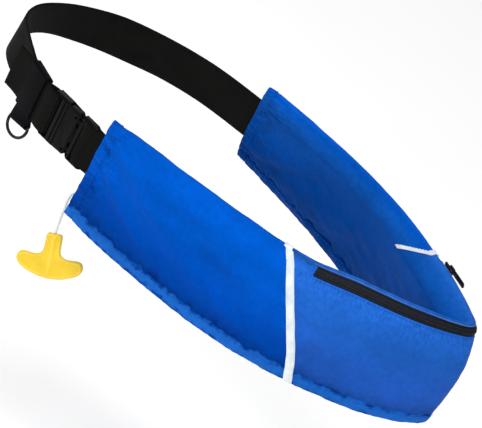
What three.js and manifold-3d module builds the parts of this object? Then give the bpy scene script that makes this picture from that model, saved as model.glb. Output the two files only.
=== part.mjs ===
// Inflatable belt pack, as worn round a waist: a slim zipped cloth pouch on a webbing belt,
// with a side-release buckle, a strap keeper with a D-ring, and a pull handle on a cord.
// Millimetres. +Z up along the waist, -Y to the front, -X to the wearer's right side.
// The origin is the middle of the loop, at half the height of the webbing.

import * as THREE from 'three';
import { mergeVertices } from 'three/addons/utils/BufferGeometryUtils.js';
import Module from 'manifold-3d';

const wasm = await Module();
wasm.setup();

// Loop
const loopWidth = 207;
const loopLength = 445;
const rightArm = 333;
const leftArm = 306;
const mitreSpan = 60;

// Webbing
const webbingWidth = 38;
const webbingThick = 1.8;
const webbingStep = 14;

// Pouch
const pouchTop = 36;
const pouchDrop = 57;
const pouchDepth = 24;
const clothWall = 1.8;
const edgeHalf = 2.3;
const pouchStep = 17;
const noseStep = 8;
const noseSpan = 45;
const bottomHem = 9;
const endHem = 9;
const seamGap = 0.4;

// Reflective stripes
const rightStripe = 138;
const leftStripe = 62;
const stripeWidth = 7;
const stripeThick = 0.5;
const stripeSlant = 0.51;
const shoulderSlant = 1.03;

// Zip
const zipStart = 136.5;
const zipEnd = 78;
const zipWidth = 7;
const zipDown = 1;
const tapeThick = 1;
const coilWidth = 3.6;
const coilThick = 1.5;
const sliderLength = 10.5;
const sliderWidth = 8;
const sliderThick = 2.4;
const tabLength = 22;
const tabWidth = 6;
const tabThick = 1.4;
const tabHole = 2.4;

// Buckle
const buckleFromMouth = 27;
const buckleWidth = 42.4;
const buckleThick = 9;
const femaleLength = 32;
const barLength = 6;
const barThick = 4.6;
const slotLength = 4.6;
const maleBase = 5.4;
const maleBar = 3.6;
const maleThick = 7;
const earLength = 19;
const runGap = 0.4;

// Keeper, ring and tail
const keeperFromFemale = 12;
const keeperWidth = 25;
const keeperThick = 1.5;
const keeperDrop = 12;
const ringWire = 2.6;
const ringWidth = 33.6;
const ringHeight = 16;
const ringTilt = 15;
const ringSwing = -15;
const ringBulge = 1.5;
const tailPastKeeper = 22.5;
const tailDroop = 0.6;

// Cord and handle
const cordDiameter = 2;
const handleWidth = 54;
const handleHeight = 37;
const handleStem = 13.5;
const handleThick = 5;
const handleRib = 4.5;
const ribHeight = 1;
const handleLean = 17;
const handleYaw = -64;
const handleTilt = 20;
const cordHeight = 38;
const cordInside = 12;
const anchorWidth = 3;
const anchorLength = 6;

const touch = 0.3;

// Middle line of the belt seen from above, as shares of half the loop's width and length.
// It starts at the nose of the pouch and runs past the wearer's left side to the back.
const LOOP = [
  { across: 0.256, along: -1.000 },
  { across: 0.391, along: -0.933 },
  { across: 0.565, along: -0.811 },
  { across: 0.710, along: -0.667 },
  { across: 0.874, along: -0.479 },
  { across: 0.971, along: -0.272 },
  { across: 1.000, along: -0.047 },
  { across: 0.990, along: 0.133 },
  { across: 0.961, along: 0.294 },
  { across: 0.874, along: 0.528 },
  { across: 0.681, along: 0.730 },
  { across: 0.401, along: 0.901 },
  { across: 0.043, along: 0.996 },
  { across: -0.304, along: 1.000 },
  { across: -0.614, along: 0.906 },
  { across: -0.826, along: 0.762 },
  { across: -0.961, along: 0.613 },
  { across: -1.000, along: 0.452 },
  { across: -1.000, along: 0.294 },
  { across: -0.961, along: 0.061 },
  { across: -0.874, along: -0.178 },
  { across: -0.729, along: -0.452 },
  { across: -0.498, along: -0.681 },
  { across: -0.217, along: -0.852 },
  { across: 0.092, along: -0.969 },
];

// Sections of the pouch, placed by their share of the arm, the right arm negative.
// top and hem are shares of pouchTop and pouchDrop, and the rest are shares of pouchDepth:
// ridge and kick lean the top edge in and the bottom edge out, crease is how far the inner
// top edge stands in from the ridge, belly bulges the outer face, and edge thickens the rims.
const SECTIONS = [
  { at: -1.00, top: 1.00, hem: 0.96, ridge: -0.03, crease: 0.02, kick: 0.16, belly: 0.01, edge: 1.57 },
  { at: -0.92, top: 1.01, hem: 0.97, ridge: -0.12, crease: 0.17, kick: 0.22, belly: 0.09, edge: 1.45 },
  { at: -0.75, top: 1.02, hem: 0.99, ridge: -0.25, crease: 0.30, kick: 0.36, belly: 0.21, edge: 1.00 },
  { at: -0.50, top: 1.03, hem: 1.00, ridge: -0.30, crease: 0.38, kick: 0.42, belly: 0.26, edge: 1.00 },
  { at: -0.42, top: 1.04, hem: 1.00, ridge: -0.30, crease: 0.44, kick: 0.38, belly: 0.30, edge: 1.00 },
  { at: -0.30, top: 1.13, hem: 1.00, ridge: -0.34, crease: 0.50, kick: 0.33, belly: 0.36, edge: 1.00 },
  { at: -0.12, top: 1.10, hem: 1.01, ridge: -0.18, crease: 0.60, kick: 0.36, belly: 0.44, edge: 1.00 },
  { at: 0.00, top: 1.04, hem: 1.01, ridge: -0.04, crease: 0.66, kick: 0.30, belly: 0.46, edge: 1.00 },
  { at: 0.14, top: 1.00, hem: 1.00, ridge: -0.08, crease: 0.68, kick: 0.25, belly: 0.42, edge: 1.00 },
  { at: 0.30, top: 1.01, hem: 0.99, ridge: -0.17, crease: 0.62, kick: 0.18, belly: 0.34, edge: 1.00 },
  { at: 0.50, top: 1.01, hem: 0.97, ridge: -0.29, crease: 0.42, kick: 0.18, belly: 0.25, edge: 1.00 },
  { at: 0.75, top: 0.99, hem: 0.88, ridge: -0.25, crease: 0.28, kick: 0.36, belly: 0.18, edge: 1.20 },
  { at: 0.92, top: 0.96, hem: 0.78, ridge: -0.17, crease: 0.17, kick: 0.44, belly: 0.09, edge: 1.60 },
  { at: 1.00, top: 0.94, hem: 0.72, ridge: -0.12, crease: 0.02, kick: 0.42, belly: 0.02, edge: 1.83 },
];

// Stations round a section: the face they lie on and their share of the way down it.
const creaseDown = 0.2;
const zipHigh = zipDown / (pouchTop + pouchDrop);
const zipLow = (zipDown + zipWidth) / (pouchTop + pouchDrop);
const hemHigh = 1 - bottomHem / (pouchTop + pouchDrop);
const STATIONS = [
  { name: 'crease', face: -1, down: creaseDown },
  { name: 'shoulder', face: -1, down: creaseDown / 2 },
  { name: 'ridge_in', face: -1, down: 0.008 },
  { name: 'ridge', face: 0, down: 0 },
  { name: 'ridge_out', face: 1, down: 0.004 },
  { name: 'zip_high', face: 1, down: zipHigh },
  { name: 'zip_low', face: 1, down: zipLow },
  { name: 'chest', face: 1, down: 0.35 },
  { name: 'belly', face: 1, down: 0.50 },
  { name: 'waist', face: 1, down: 0.65 },
  { name: 'skirt', face: 1, down: 0.79 },
  { name: 'hem_out', face: 1, down: hemHigh },
  { name: 'rim_out', face: 1, down: 1 },
  { name: 'rim_in', face: -1, down: 1 },
  { name: 'hem_in', face: -1, down: hemHigh },
  { name: 'back_low', face: -1, down: 0.72 },
  { name: 'back_mid', face: -1, down: 0.50 },
  { name: 'back_high', face: -1, down: 0.31 },
];
const station = Object.fromEntries(STATIONS.map((entry, index) => [entry.name, index]));

// Soft folds in the cloth: where they cross the arm and the height, as shares, how far they
// run along the arm and down per length, their half width and their rise, in millimetres.
const FOLDS = [
  { face: 1, at: -0.80, down: 0.45, reach: 75, slope: 0.62, width: 15, rise: 2.2 },
  { face: 1, at: -0.62, down: 0.70, reach: 60, slope: 0.35, width: 13, rise: 1.8 },
  { face: 1, at: -0.42, down: 0.62, reach: 55, slope: -0.20, width: 14, rise: 1.6 },
  { face: -1, at: 0.84, down: 0.42, reach: 60, slope: 0.55, width: 13, rise: 2.0 },
  { face: -1, at: 0.66, down: 0.62, reach: 70, slope: 0.40, width: 14, rise: 2.2 },
  { face: 1, at: 0.70, down: 0.55, reach: 70, slope: 0.45, width: 15, rise: 2.0 },
];

function material(color, roughness, metalness = 0) {
  return new THREE.MeshStandardMaterial({ color, roughness, metalness });
}

const blueCloth = material(0x0a55c8, 0.5);
const blackWebbing = material(0x17171a, 0.75);
const blackPlastic = material(0x16171b, 0.4);
const reflective = material(0xe6edf2, 0.35);
const zipTapeCloth = material(0x23283a, 0.8);
const zipTeeth = material(0x2c2f3a, 0.45);
const blackMetal = material(0x1b1c1f, 0.35, 0.8);
const yellowPlastic = material(0xfad44a, 0.4);
const whiteCord = material(0xdfdfdc, 0.7);

const part = new THREE.Group();

function addMesh(name, geometry, look) {
  const mesh = new THREE.Mesh(geometry, look);
  mesh.name = name;
  part.add(mesh);
  return mesh;
}

// The belt's middle line as a dense run of points with their distance from the nose

const loopCurve = new THREE.CatmullRomCurve3(
  LOOP.map((row) => new THREE.Vector3(row.across * loopWidth / 2, row.along * loopLength / 2, 0)),
  true,
  'centripetal',
);
const loopPoints = loopCurve.getPoints(900);
const loopDistance = [0];
for (let i = 1; i < loopPoints.length; i += 1) {
  loopDistance.push(loopDistance[i - 1] + loopPoints[i].distanceTo(loopPoints[i - 1]));
}
const loopTotal = loopDistance[loopDistance.length - 1];

function loopAt(distance) {
  const wanted = THREE.MathUtils.euclideanModulo(distance, loopTotal);
  let low = 0;
  let high = loopDistance.length - 1;
  while (high - low > 1) {
    const middle = (low + high) >> 1;
    if (loopDistance[middle] > wanted) high = middle;
    else low = middle;
  }
  const share = (wanted - loopDistance[low]) / (loopDistance[high] - loopDistance[low]);
  return loopPoints[low].clone().lerp(loopPoints[high], share);
}

function outwardAt(distance, span) {
  const chord = loopAt(distance + span).sub(loopAt(distance - span)).normalize();
  return new THREE.Vector3(chord.y, -chord.x, 0);
}

// Pouch sections

const columns = ['top', 'hem', 'ridge', 'crease', 'kick', 'belly', 'edge'];
const sectionCurve = new THREE.CubicInterpolant(
  SECTIONS.map((row) => row.at),
  SECTIONS.flatMap((row) => columns.map((name) => row[name])),
  columns.length,
);

function armShare(distance) {
  return distance < 0 ? distance / rightArm : distance / leftArm;
}

function sectionAt(distance) {
  const share = THREE.MathUtils.clamp(armShare(distance), -1, 1);
  const [top, hem, ridge, crease, kick, belly, edge] = sectionCurve.evaluate(share);
  return {
    distance,
    share,
    top: top * pouchTop,
    hem: -hem * pouchDrop,
    ridge: ridge * pouchDepth,
    crease: crease * pouchDepth,
    kick: kick * pouchDepth,
    belly: belly * pouchDepth,
    edge: edge * edgeHalf,
  };
}

function foldRise(section, face, down) {
  let rise = 0;
  for (const fold of FOLDS) {
    if (fold.face !== face) continue;
    const along = section.distance - fold.at * (fold.at < 0 ? rightArm : leftArm);
    const below = (down - fold.down) * (section.top - section.hem);
    const run = Math.hypot(1, fold.slope);
    const lengthwise = (along + below * fold.slope) / run;
    const crosswise = (below - along * fold.slope) / run;
    rise += fold.rise * Math.exp(-((lengthwise / fold.reach) ** 2) - (crosswise / fold.width) ** 2);
  }
  return rise * Math.sin(Math.PI * THREE.MathUtils.clamp(down, 0, 1)) * (1 - section.share ** 8);
}

// A point of the section: u is outward from the belt's middle line and z is the height
function facePoint(section, face, down) {
  const z = THREE.MathUtils.lerp(section.top, section.hem, down);
  const lean = z > 0
    ? section.ridge * (z / section.top) ** 2
    : section.kick * (z / section.hem) ** 2.4;
  if (face === 0) return new THREE.Vector2(lean + section.edge * 0.4, z + 0.2);
  const rise = foldRise(section, face, down);
  if (face > 0) {
    const bulge = section.belly * Math.sin(Math.PI * down) ** 0.8;
    return new THREE.Vector2(lean + section.edge + bulge + rise, z);
  }
  const inward = down < creaseDown
    ? down / creaseDown
    : (1 - (down - creaseDown) / (1 - creaseDown)) + 0.15 * Math.sin(Math.PI * down);
  return new THREE.Vector2(lean - section.edge - section.crease * inward - rise, z);
}

// The closed outline of a section, moved out by an offset along its mitred normals
function ring(distance, offset) {
  const section = sectionAt(distance);
  const outline = STATIONS.map((entry) => facePoint(section, entry.face, entry.down));
  if (offset === 0) return outline;
  return outline.map((point, index) => {
    const before = outline.at(index - 1);
    const after = outline[(index + 1) % outline.length];
    const a = point.clone().sub(before).normalize();
    const b = after.clone().sub(point).normalize();
    const mitre = new THREE.Vector2(-a.y - b.y, a.x + b.x).normalize();
    const spread = Math.max(0.6, mitre.dot(new THREE.Vector2(-a.y, a.x)));
    return point.clone().addScaledVector(mitre, offset / spread);
  });
}

const ringCache = new Map();

function surfacePoint(distance, turn, offset) {
  const key = `${distance.toFixed(4)} ${offset}`;
  if (!ringCache.has(key)) ringCache.set(key, ring(distance, offset));
  const outline = ringCache.get(key);
  const low = Math.floor(turn);
  const from = outline[THREE.MathUtils.euclideanModulo(low, outline.length)];
  const to = outline[THREE.MathUtils.euclideanModulo(low + 1, outline.length)];
  const flat = from.clone().lerp(to, turn - low);
  const point = loopAt(distance).addScaledVector(outwardAt(distance, mitreSpan), flat.x);
  point.z = flat.y;
  return point;
}

// Moves a station's number along the outline by a length in millimetres
function shifted(turn, length) {
  const outline = ring(0, 0);
  const low = Math.floor(turn);
  const count = outline.length;
  const next = length > 0 ? low + 1 : low - 1;
  const a = outline[THREE.MathUtils.euclideanModulo(low, count)];
  const b = outline[THREE.MathUtils.euclideanModulo(next, count)];
  return turn + length / a.distanceTo(b);
}

// A sheet that follows the pouch: a grid of distances and stations between two offsets.
// keep says which cells of the grid hold cloth, and round closes the sheet into a sleeve.
function sheet({ distances, turns, outer, inner, keep = () => true, round = false }) {
  const rows = distances.length;
  const count = turns.length;
  const cells = round ? count : count - 1;
  const positions = [];
  const numbers = new Map();
  function vertex(i, j, layer) {
    const key = (layer * rows + i) * count + (j % count);
    if (!numbers.has(key)) {
      const distance = typeof distances[i] === 'function' ? distances[i](turns[j % count]) : distances[i];
      const point = surfacePoint(distance, turns[j % count], layer === 0 ? outer : inner);
      numbers.set(key, positions.length / 3);
      positions.push(point.x, point.y, point.z);
    }
    return numbers.get(key);
  }
  const filled = (i, j) => {
    const column = round ? (j + cells) % cells : j;
    return i >= 0 && i < rows - 1 && column >= 0 && column < cells && keep(i, column);
  };
  const index = [];
  const quad = (a, b, c, d) => index.push(a, b, c, a, c, d);
  for (let i = 0; i < rows - 1; i += 1) {
    for (let j = 0; j < cells; j += 1) {
      if (!filled(i, j)) continue;
      const corners = [[i, j], [i, j + 1], [i + 1, j + 1], [i + 1, j]];
      const neighbours = [[i - 1, j], [i, j + 1], [i + 1, j], [i, j - 1]];
      quad(...corners.map(([a, b]) => vertex(a, b, 0)));
      quad(...[0, 3, 2, 1].map((corner) => vertex(...corners[corner], 1)));
      corners.forEach(([a, b], side) => {
        if (filled(...neighbours[side])) return;
        const [c, d] = corners[(side + 1) % 4];
        const wall = [vertex(c, d, 0), vertex(a, b, 0), vertex(a, b, 1), vertex(c, d, 1)];
        if (side < 2) quad(...wall);
        else quad(...wall.slice(1), wall[0]);
      });
    }
  }
  const geometry = new THREE.BufferGeometry();
  geometry.setAttribute('position', new THREE.Float32BufferAttribute(positions, 3));
  geometry.setIndex(index);
  geometry.computeVertexNormals();
  return geometry;
}

// Distances from one place to another in even steps, closer together round the nose
function steps(from, to) {
  const list = [from];
  const nose = (x) => Math.abs(x) < noseSpan;
  let here = from;
  while (here < to) {
    here += nose(here) || nose(here + pouchStep) ? noseStep : pouchStep;
    list.push(Math.min(here, to));
  }
  const last = list.length - 1;
  if (last > 1 && list[last] - list[last - 1] < noseStep / 2) list.splice(last - 1, 1);
  return list;
}

// The slanted seam under each stripe moves away from the nose with the length of outline
// between a station and the belly, runs straight over the ridge, and slants more inside it
function seamAt(middle, lean) {
  const outline = ring(middle, 0);
  const climb = [0];
  for (let index = 1; index < outline.length; index += 1) {
    let slant = index <= station.ridge_in ? shoulderSlant : stripeSlant;
    if (index > station.ridge_in && index <= station.ridge_out) slant = 0;
    climb.push(climb[index - 1] + slant * outline[index].distanceTo(outline[index - 1]));
  }
  return (turn) => {
    const low = Math.floor(turn);
    const here = THREE.MathUtils.lerp(climb[low], climb[low + 1], turn - low);
    return middle + lean * (climb[station.belly] - here);
  };
}

const rightSeam = seamAt(-rightStripe, -1);
const leftSeam = seamAt(leftStripe, 1);

function between(start, end, distances) {
  const first = distances[0];
  const span = distances[distances.length - 1] - first;
  return distances.map((distance) => {
    const share = (distance - first) / span;
    return (turn) => THREE.MathUtils.lerp(start(turn), end(turn), share);
  });
}

// Outer panels, from the crease over the ridge to the bottom hem

const coverTurns = [
  shifted(station.crease, seamGap / 2),
  ...STATIONS.slice(1, station.hem_out).map((entry) => station[entry.name]),
  shifted(station.hem_out, -seamGap / 2),
];
const halfSeam = seamGap / 2;
const rightMouth = -rightArm;
const leftMouth = leftArm;
const rightPanelEnd = rightMouth + endHem + seamGap;
const leftPanelEnd = leftMouth - endHem - seamGap;

function panel(start, end, distances, extra = {}) {
  return sheet({
    distances: between(start, end, distances),
    turns: coverTurns,
    outer: 0,
    inner: -clothWall,
    ...extra,
  });
}

addMesh('right_wing_cover', panel(
  () => rightPanelEnd,
  (turn) => rightSeam(turn) - halfSeam,
  steps(rightPanelEnd, -rightStripe),
), blueCloth);

addMesh('left_wing_cover', panel(
  (turn) => leftSeam(turn) + halfSeam,
  () => leftPanelEnd,
  steps(leftStripe, leftPanelEnd),
), blueCloth);

// The front panel between the stripes has a slot for the zip

const frontStart = (turn) => rightSeam(turn) + halfSeam;
const frontEnd = (turn) => leftSeam(turn) - halfSeam;
const zipTurn = (station.zip_high + station.zip_low) / 2;
const zipRun = steps(-zipStart, zipEnd);
const frontRun = [frontStart(zipTurn), (frontStart(zipTurn) - zipStart) / 2, ...zipRun, frontEnd(zipTurn)];
const zipFirst = 2;
const zipLast = frontRun.length - 2;
const frontColumns = between(frontStart, frontEnd, frontRun);
addMesh('front_cover', sheet({
  distances: frontColumns,
  turns: coverTurns,
  outer: 0,
  inner: -clothWall,
  keep: (i, j) => j !== station.zip_high || i < zipFirst || i >= zipLast,
}), blueCloth);

// Inner panel, bottom hem and the folded hems at the two mouths

const innerRun = steps(rightPanelEnd, leftPanelEnd);
const backTurns = [
  shifted(station.hem_in, seamGap / 2),
  station.back_low,
  station.back_mid,
  station.back_high,
  STATIONS.length + shifted(station.crease, -seamGap / 2),
];
addMesh('back_panel', sheet({
  distances: innerRun,
  turns: backTurns,
  outer: 0,
  inner: -clothWall,
}), blueCloth);

addMesh('bottom_hem', sheet({
  distances: innerRun,
  turns: [
    shifted(station.hem_out, seamGap / 2),
    station.rim_out,
    station.rim_in,
    shifted(station.hem_in, -seamGap / 2),
  ],
  outer: 0,
  inner: -clothWall,
}), blueCloth);

const allTurns = STATIONS.map((entry, index) => index);
addMesh('right_end_hem', sheet({
  distances: [rightMouth, rightMouth + endHem],
  turns: allTurns,
  outer: 0,
  inner: -clothWall,
  round: true,
}), blueCloth);
addMesh('left_end_hem', sheet({
  distances: [leftMouth - endHem, leftMouth],
  turns: allTurns,
  outer: 0,
  inner: -clothWall,
  round: true,
}), blueCloth);

// Reflective stripes lie over the two slanted seams

function stripe(seam) {
  return sheet({
    distances: [
      (turn) => seam(turn) - stripeWidth / 2,
      (turn) => seam(turn) + stripeWidth / 2,
    ],
    turns: coverTurns,
    outer: touch + stripeThick,
    inner: touch,
  });
}
addMesh('right_stripe', stripe(rightSeam), reflective);
addMesh('left_stripe', stripe(leftSeam), reflective);

// Zip: a tape in the slot, the coil on the middle of it and the slider at its far end

const tapeColumns = frontColumns.slice(zipFirst, zipLast + 1).map((column, index, all) => {
  if (index === 0) return (turn) => column(turn) + touch;
  return index === all.length - 1 ? (turn) => column(turn) - touch : column;
});
const tapeTop = 0.1;
const coilHalf = coilWidth / 2 / zipWidth;
addMesh('zip_tape', sheet({
  distances: tapeColumns,
  turns: [
    shifted(station.zip_high, touch),
    zipTurn - coilHalf,
    zipTurn + coilHalf,
    shifted(station.zip_low, -touch),
  ],
  outer: -tapeTop,
  inner: -tapeTop - tapeThick,
}), zipTapeCloth);

const coilBase = touch - tapeTop;
addMesh('zip_coil', sheet({
  distances: tapeColumns,
  turns: [zipTurn - coilHalf, zipTurn + coilHalf],
  outer: coilBase + coilThick,
  inner: coilBase,
}), zipTeeth);

// Solids that are cut or joined

function solidFrom(geometry) {
  const bare = geometry.clone();
  bare.deleteAttribute('normal');
  bare.deleteAttribute('uv');
  const merged = mergeVertices(bare, 1e-4);
  return new wasm.Manifold(new wasm.Mesh({
    numProp: 3,
    vertProperties: new Float32Array(merged.attributes.position.array),
    triVerts: new Uint32Array(merged.index.array),
  }));
}

function geometryFrom(solid) {
  const mesh = solid.getMesh();
  const geometry = new THREE.BufferGeometry();
  geometry.setAttribute('position', new THREE.Float32BufferAttribute(mesh.vertProperties, 3));
  geometry.setIndex(Array.from(mesh.triVerts));
  geometry.computeVertexNormals();
  return geometry;
}

function box(x0, x1, y0, y1, z0, z1) {
  return new THREE.BoxGeometry(x1 - x0, y1 - y0, z1 - z0)
    .translate((x0 + x1) / 2, (y0 + y1) / 2, (z0 + z1) / 2);
}

function plate(outline, thick, bevel) {
  return new THREE.ExtrudeGeometry(new THREE.Shape(outline), {
    depth: thick - 2 * bevel,
    bevelEnabled: bevel > 0,
    bevelThickness: bevel,
    bevelSize: bevel,
    bevelOffset: -bevel,
    bevelSegments: 1,
    curveSegments: 6,
  }).translate(0, 0, bevel - thick / 2);
}

function cut(body, tools) {
  let solid = solidFrom(body);
  for (const tool of tools) solid = solid.subtract(solidFrom(tool));
  return solid;
}

// Zip slider with a bail over it, and a pull that lies on the zip, held by the bail

function zipFrame(distance) {
  const middle = surfacePoint(distance, zipTurn, coilBase + coilThick);
  const ahead = surfacePoint(distance + 4, zipTurn, coilBase + coilThick);
  const lower = surfacePoint(distance, zipTurn + 0.3, coilBase + coilThick);
  const along = ahead.sub(middle).normalize();
  const outward = lower.sub(middle).cross(along).normalize();
  const up = outward.clone().cross(along);
  return new THREE.Matrix4().makeBasis(along, up, outward).setPosition(middle);
}

const sliderBase = 2 * touch;
const sliderTop = sliderBase + sliderThick;
const bailEnd = sliderLength * 0.3;
const bailWire = 1.2;
const bailHalf = 0.8;
const bailTop = sliderTop + tabThick + 2 * touch;
const zipPlace = zipFrame(zipEnd - sliderLength / 2 - 1);

const sliderSolid = [
  box(-bailEnd, -bailEnd + bailWire, -bailHalf, bailHalf, sliderTop - touch, bailTop + bailWire),
  box(bailEnd - bailWire, bailEnd, -bailHalf, bailHalf, sliderTop - touch, bailTop + bailWire),
  box(-bailEnd, bailEnd, -bailHalf, bailHalf, bailTop, bailTop + bailWire),
].reduce((solid, block) => solid.add(solidFrom(block)), solidFrom(plate([
  new THREE.Vector2(-sliderLength / 2, -sliderWidth * 0.34),
  new THREE.Vector2(sliderLength / 2, -sliderWidth / 2),
  new THREE.Vector2(sliderLength / 2, sliderWidth / 2),
  new THREE.Vector2(-sliderLength / 2, sliderWidth * 0.34),
], sliderThick, 0.4).translate(0, 0, sliderBase + sliderThick / 2)));
addMesh('zip_slider', geometryFrom(sliderSolid), blackMetal).applyMatrix4(zipPlace);

const tabBase = sliderTop + touch;
const tabTip = bailWire - tabLength;
addMesh('zip_pull', geometryFrom(cut(
  plate([
    new THREE.Vector2(bailWire / 2, -tabWidth / 2),
    new THREE.Vector2(bailWire / 2, tabWidth / 2),
    new THREE.Vector2(tabTip + 1, tabWidth / 2),
    new THREE.Vector2(tabTip, tabWidth / 4),
    new THREE.Vector2(tabTip, -tabWidth / 4),
    new THREE.Vector2(tabTip + 1, -tabWidth / 2),
  ], tabThick, 0).translate(0, 0, tabBase + tabThick / 2),
  [box(-bailEnd - bailWire, -bailWire / 2, -tabHole / 2, tabHole / 2, tabBase - 1, tabBase + tabThick + 1)],
)), blackMetal).applyMatrix4(zipPlace);

// Straight frames on the loop: x along the belt towards the nose, y up and z outward.
// The origin lies on the chord between two distances from the right mouth.

function chordFrame(near, far, origin) {
  const start = loopAt(rightMouth - near);
  const along = start.clone().sub(loopAt(rightMouth - far)).normalize();
  const outward = new THREE.Vector3(along.y, -along.x, 0);
  return new THREE.Matrix4()
    .makeBasis(along, new THREE.Vector3(0, 0, 1), outward)
    .setPosition(start.addScaledVector(along, near - origin));
}

const femaleEnd = buckleFromMouth + femaleLength;
const keeperNear = femaleEnd + keeperFromFemale;
const keeperFar = keeperNear + keeperWidth;
const keeperMiddle = keeperNear + keeperWidth / 2;
const buckleFrame = chordFrame(0, femaleEnd, buckleFromMouth);
const keeperFrame = chordFrame(keeperNear - 2, keeperFar + 2, keeperMiddle);

// Belt webbing: one ribbon, folded round the buckle's two bars. Each point of its run holds
// its place seen from above, how far the ribbon drops below the belt's own height, and how far
// its upper edge leans outward, in degrees.

function ribbon(run, width, thick) {
  const positions = [];
  const index = [];
  run.forEach((point, i) => {
    const before = run[Math.max(0, i - 1)];
    const after = run[Math.min(run.length - 1, i + 1)];
    const a = new THREE.Vector2(point.x - before.x, point.y - before.y).normalize();
    const b = new THREE.Vector2(after.x - point.x, after.y - point.y).normalize();
    const mitre = new THREE.Vector2(a.y + b.y, -a.x - b.x).normalize();
    const straight = i === 0 || i === run.length - 1;
    const spread = straight ? 1 : Math.max(0.7, mitre.x * a.y - mitre.y * a.x);
    const lean = THREE.MathUtils.degToRad(point.lean ?? 0);
    for (const side of [1, -1]) {
      for (const end of [1, -1]) {
        const out = side * thick / 2 / spread + end * width / 2 * Math.sin(lean);
        positions.push(
          point.x + mitre.x * out,
          point.y + mitre.y * out,
          end * width / 2 * Math.cos(lean) - (point.drop ?? 0),
        );
      }
    }
  });
  const quad = (a, b, c, d) => index.push(a, b, c, a, c, d);
  quad(0, 2, 3, 1);
  for (let i = 0; i < run.length - 1; i += 1) {
    const n = 4 * i;
    quad(n, n + 1, n + 5, n + 4);
    quad(n + 1, n + 3, n + 7, n + 5);
    quad(n + 3, n + 2, n + 6, n + 7);
    quad(n + 2, n, n + 4, n + 6);
  }
  const last = 4 * (run.length - 1);
  quad(last, last + 1, last + 3, last + 2);
  const geometry = new THREE.BufferGeometry();
  geometry.setAttribute('position', new THREE.Float32BufferAttribute(positions, 3));
  geometry.setIndex(index);
  geometry.computeVertexNormals();
  return geometry;
}

function onBuckle(along, outward) {
  return new THREE.Vector3(along, 0, outward).applyMatrix4(buckleFrame);
}

function onKeeper(along, outward, drop) {
  const place = new THREE.Vector3(along, 0, outward).applyMatrix4(keeperFrame);
  return { x: place.x, y: place.y, drop };
}

const layerGap = webbingThick + touch;
const maleSlot = 3;
const maleBarHalf = maleBar / 2;
const maleTurn = maleBarHalf + touch + webbingThick / 2;
const maleBarStart = maleBase + maleSlot;
const maleTurnMiddle = maleBarStart + maleBarHalf;
const returnEnd = buckleFromMouth - 3;
const femaleTurn = barThick / 2 + touch + webbingThick / 2;
const barStart = barLength - femaleLength;
const femaleTurnMiddle = barStart - barThick / 2;
const turnSteps = 8;

function turnRound(middle, radius, from, to) {
  return Array.from({ length: turnSteps + 1 }, (unused, i) => {
    const angle = THREE.MathUtils.lerp(from, to, i / turnSteps);
    return onBuckle(middle + radius * Math.cos(angle), radius * Math.sin(angle));
  });
}

const maleFold = [
  onBuckle(returnEnd, -layerGap),
  onBuckle((returnEnd + maleTurnMiddle) / 2, -(layerGap + maleTurn) / 2),
  ...turnRound(maleTurnMiddle, maleTurn, Math.PI * 1.5, Math.PI * 0.5),
  onBuckle(returnEnd - 4, webbingThick / 2),
];
const insideRun = steps(rightMouth, leftMouth).map((distance) => loopAt(distance));
const backLength = loopTotal - rightArm - leftArm - keeperFar - 2;
const backCount = Math.round(backLength / webbingStep);
// How the free webbing behind the keeper stands off the loop, by the length past the right
// mouth: the shift outward, the drop, and the lean of its upper edge outward in degrees
const BEND = [
  { past: 98, out: 0, drop: 0, lean: 0 },
  { past: 118, out: -2.2, drop: -0.3, lean: 3 },
  { past: 138, out: 0, drop: -1.2, lean: -3 },
  { past: 160, out: 3.4, drop: -1.8, lean: -4 },
  { past: 184, out: 2, drop: -2.4, lean: -7.5 },
  { past: 212, out: -0.5, drop: -3, lean: -13 },
  { past: 245, out: -2.5, drop: -1.6, lean: -6 },
  { past: 285, out: -1.4, drop: -0.3, lean: 3 },
  { past: 330, out: 0, drop: 0, lean: 0 },
];
const bendCurve = new THREE.CubicInterpolant(
  BEND.map((row) => row.past),
  BEND.flatMap((row) => [row.out, row.drop, row.lean]),
  3,
  new Float64Array(3),
);
function bentPoint(distance) {
  const past = loopTotal - rightArm - distance;
  const [out, drop, lean] = bendCurve.evaluate(Math.min(Math.max(past, BEND[0].past), BEND.at(-1).past));
  const place = loopAt(distance).addScaledVector(outwardAt(distance, webbingStep), out);
  return { x: place.x, y: place.y, drop, lean };
}

const backRun = Array.from({ length: backCount }, (unused, i) => (
  bentPoint(leftMouth + backLength * (i + 1) / backCount)
));
const femaleFold = [
  loopAt(rightMouth - keeperNear + 2),
  onBuckle(barStart - barLength - 2, -femaleTurn),
  ...turnRound(femaleTurnMiddle, femaleTurn, -Math.PI / 2, Math.PI / 2),
  onBuckle(barStart - barLength - 2, femaleTurn),
];
const tailRun = [
  onKeeper(keeperWidth / 2 + 2, layerGap, 0),
  onKeeper(-keeperWidth / 2 - 1, layerGap, 0),
  onKeeper(-keeperWidth / 2 - tailPastKeeper / 2, layerGap + 0.8, tailDroop * 0.3),
  onKeeper(-keeperWidth / 2 - tailPastKeeper, layerGap + 3, tailDroop),
];
addMesh('belt_webbing', ribbon(
  [...maleFold, ...insideRun, ...backRun, ...femaleFold, ...tailRun],
  webbingWidth,
  webbingThick,
), blackWebbing);

// Buckle, female half: a socket with side windows, and a bar that the webbing runs round

const railInside = webbingWidth / 2 + runGap;
const halfWidth = buckleWidth / 2;
const socketDepth = 18;
const socketHalf = 3.2;
const windowStart = -14;
const windowEnd = -5;
const buckleBevel = 1.7;

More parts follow.
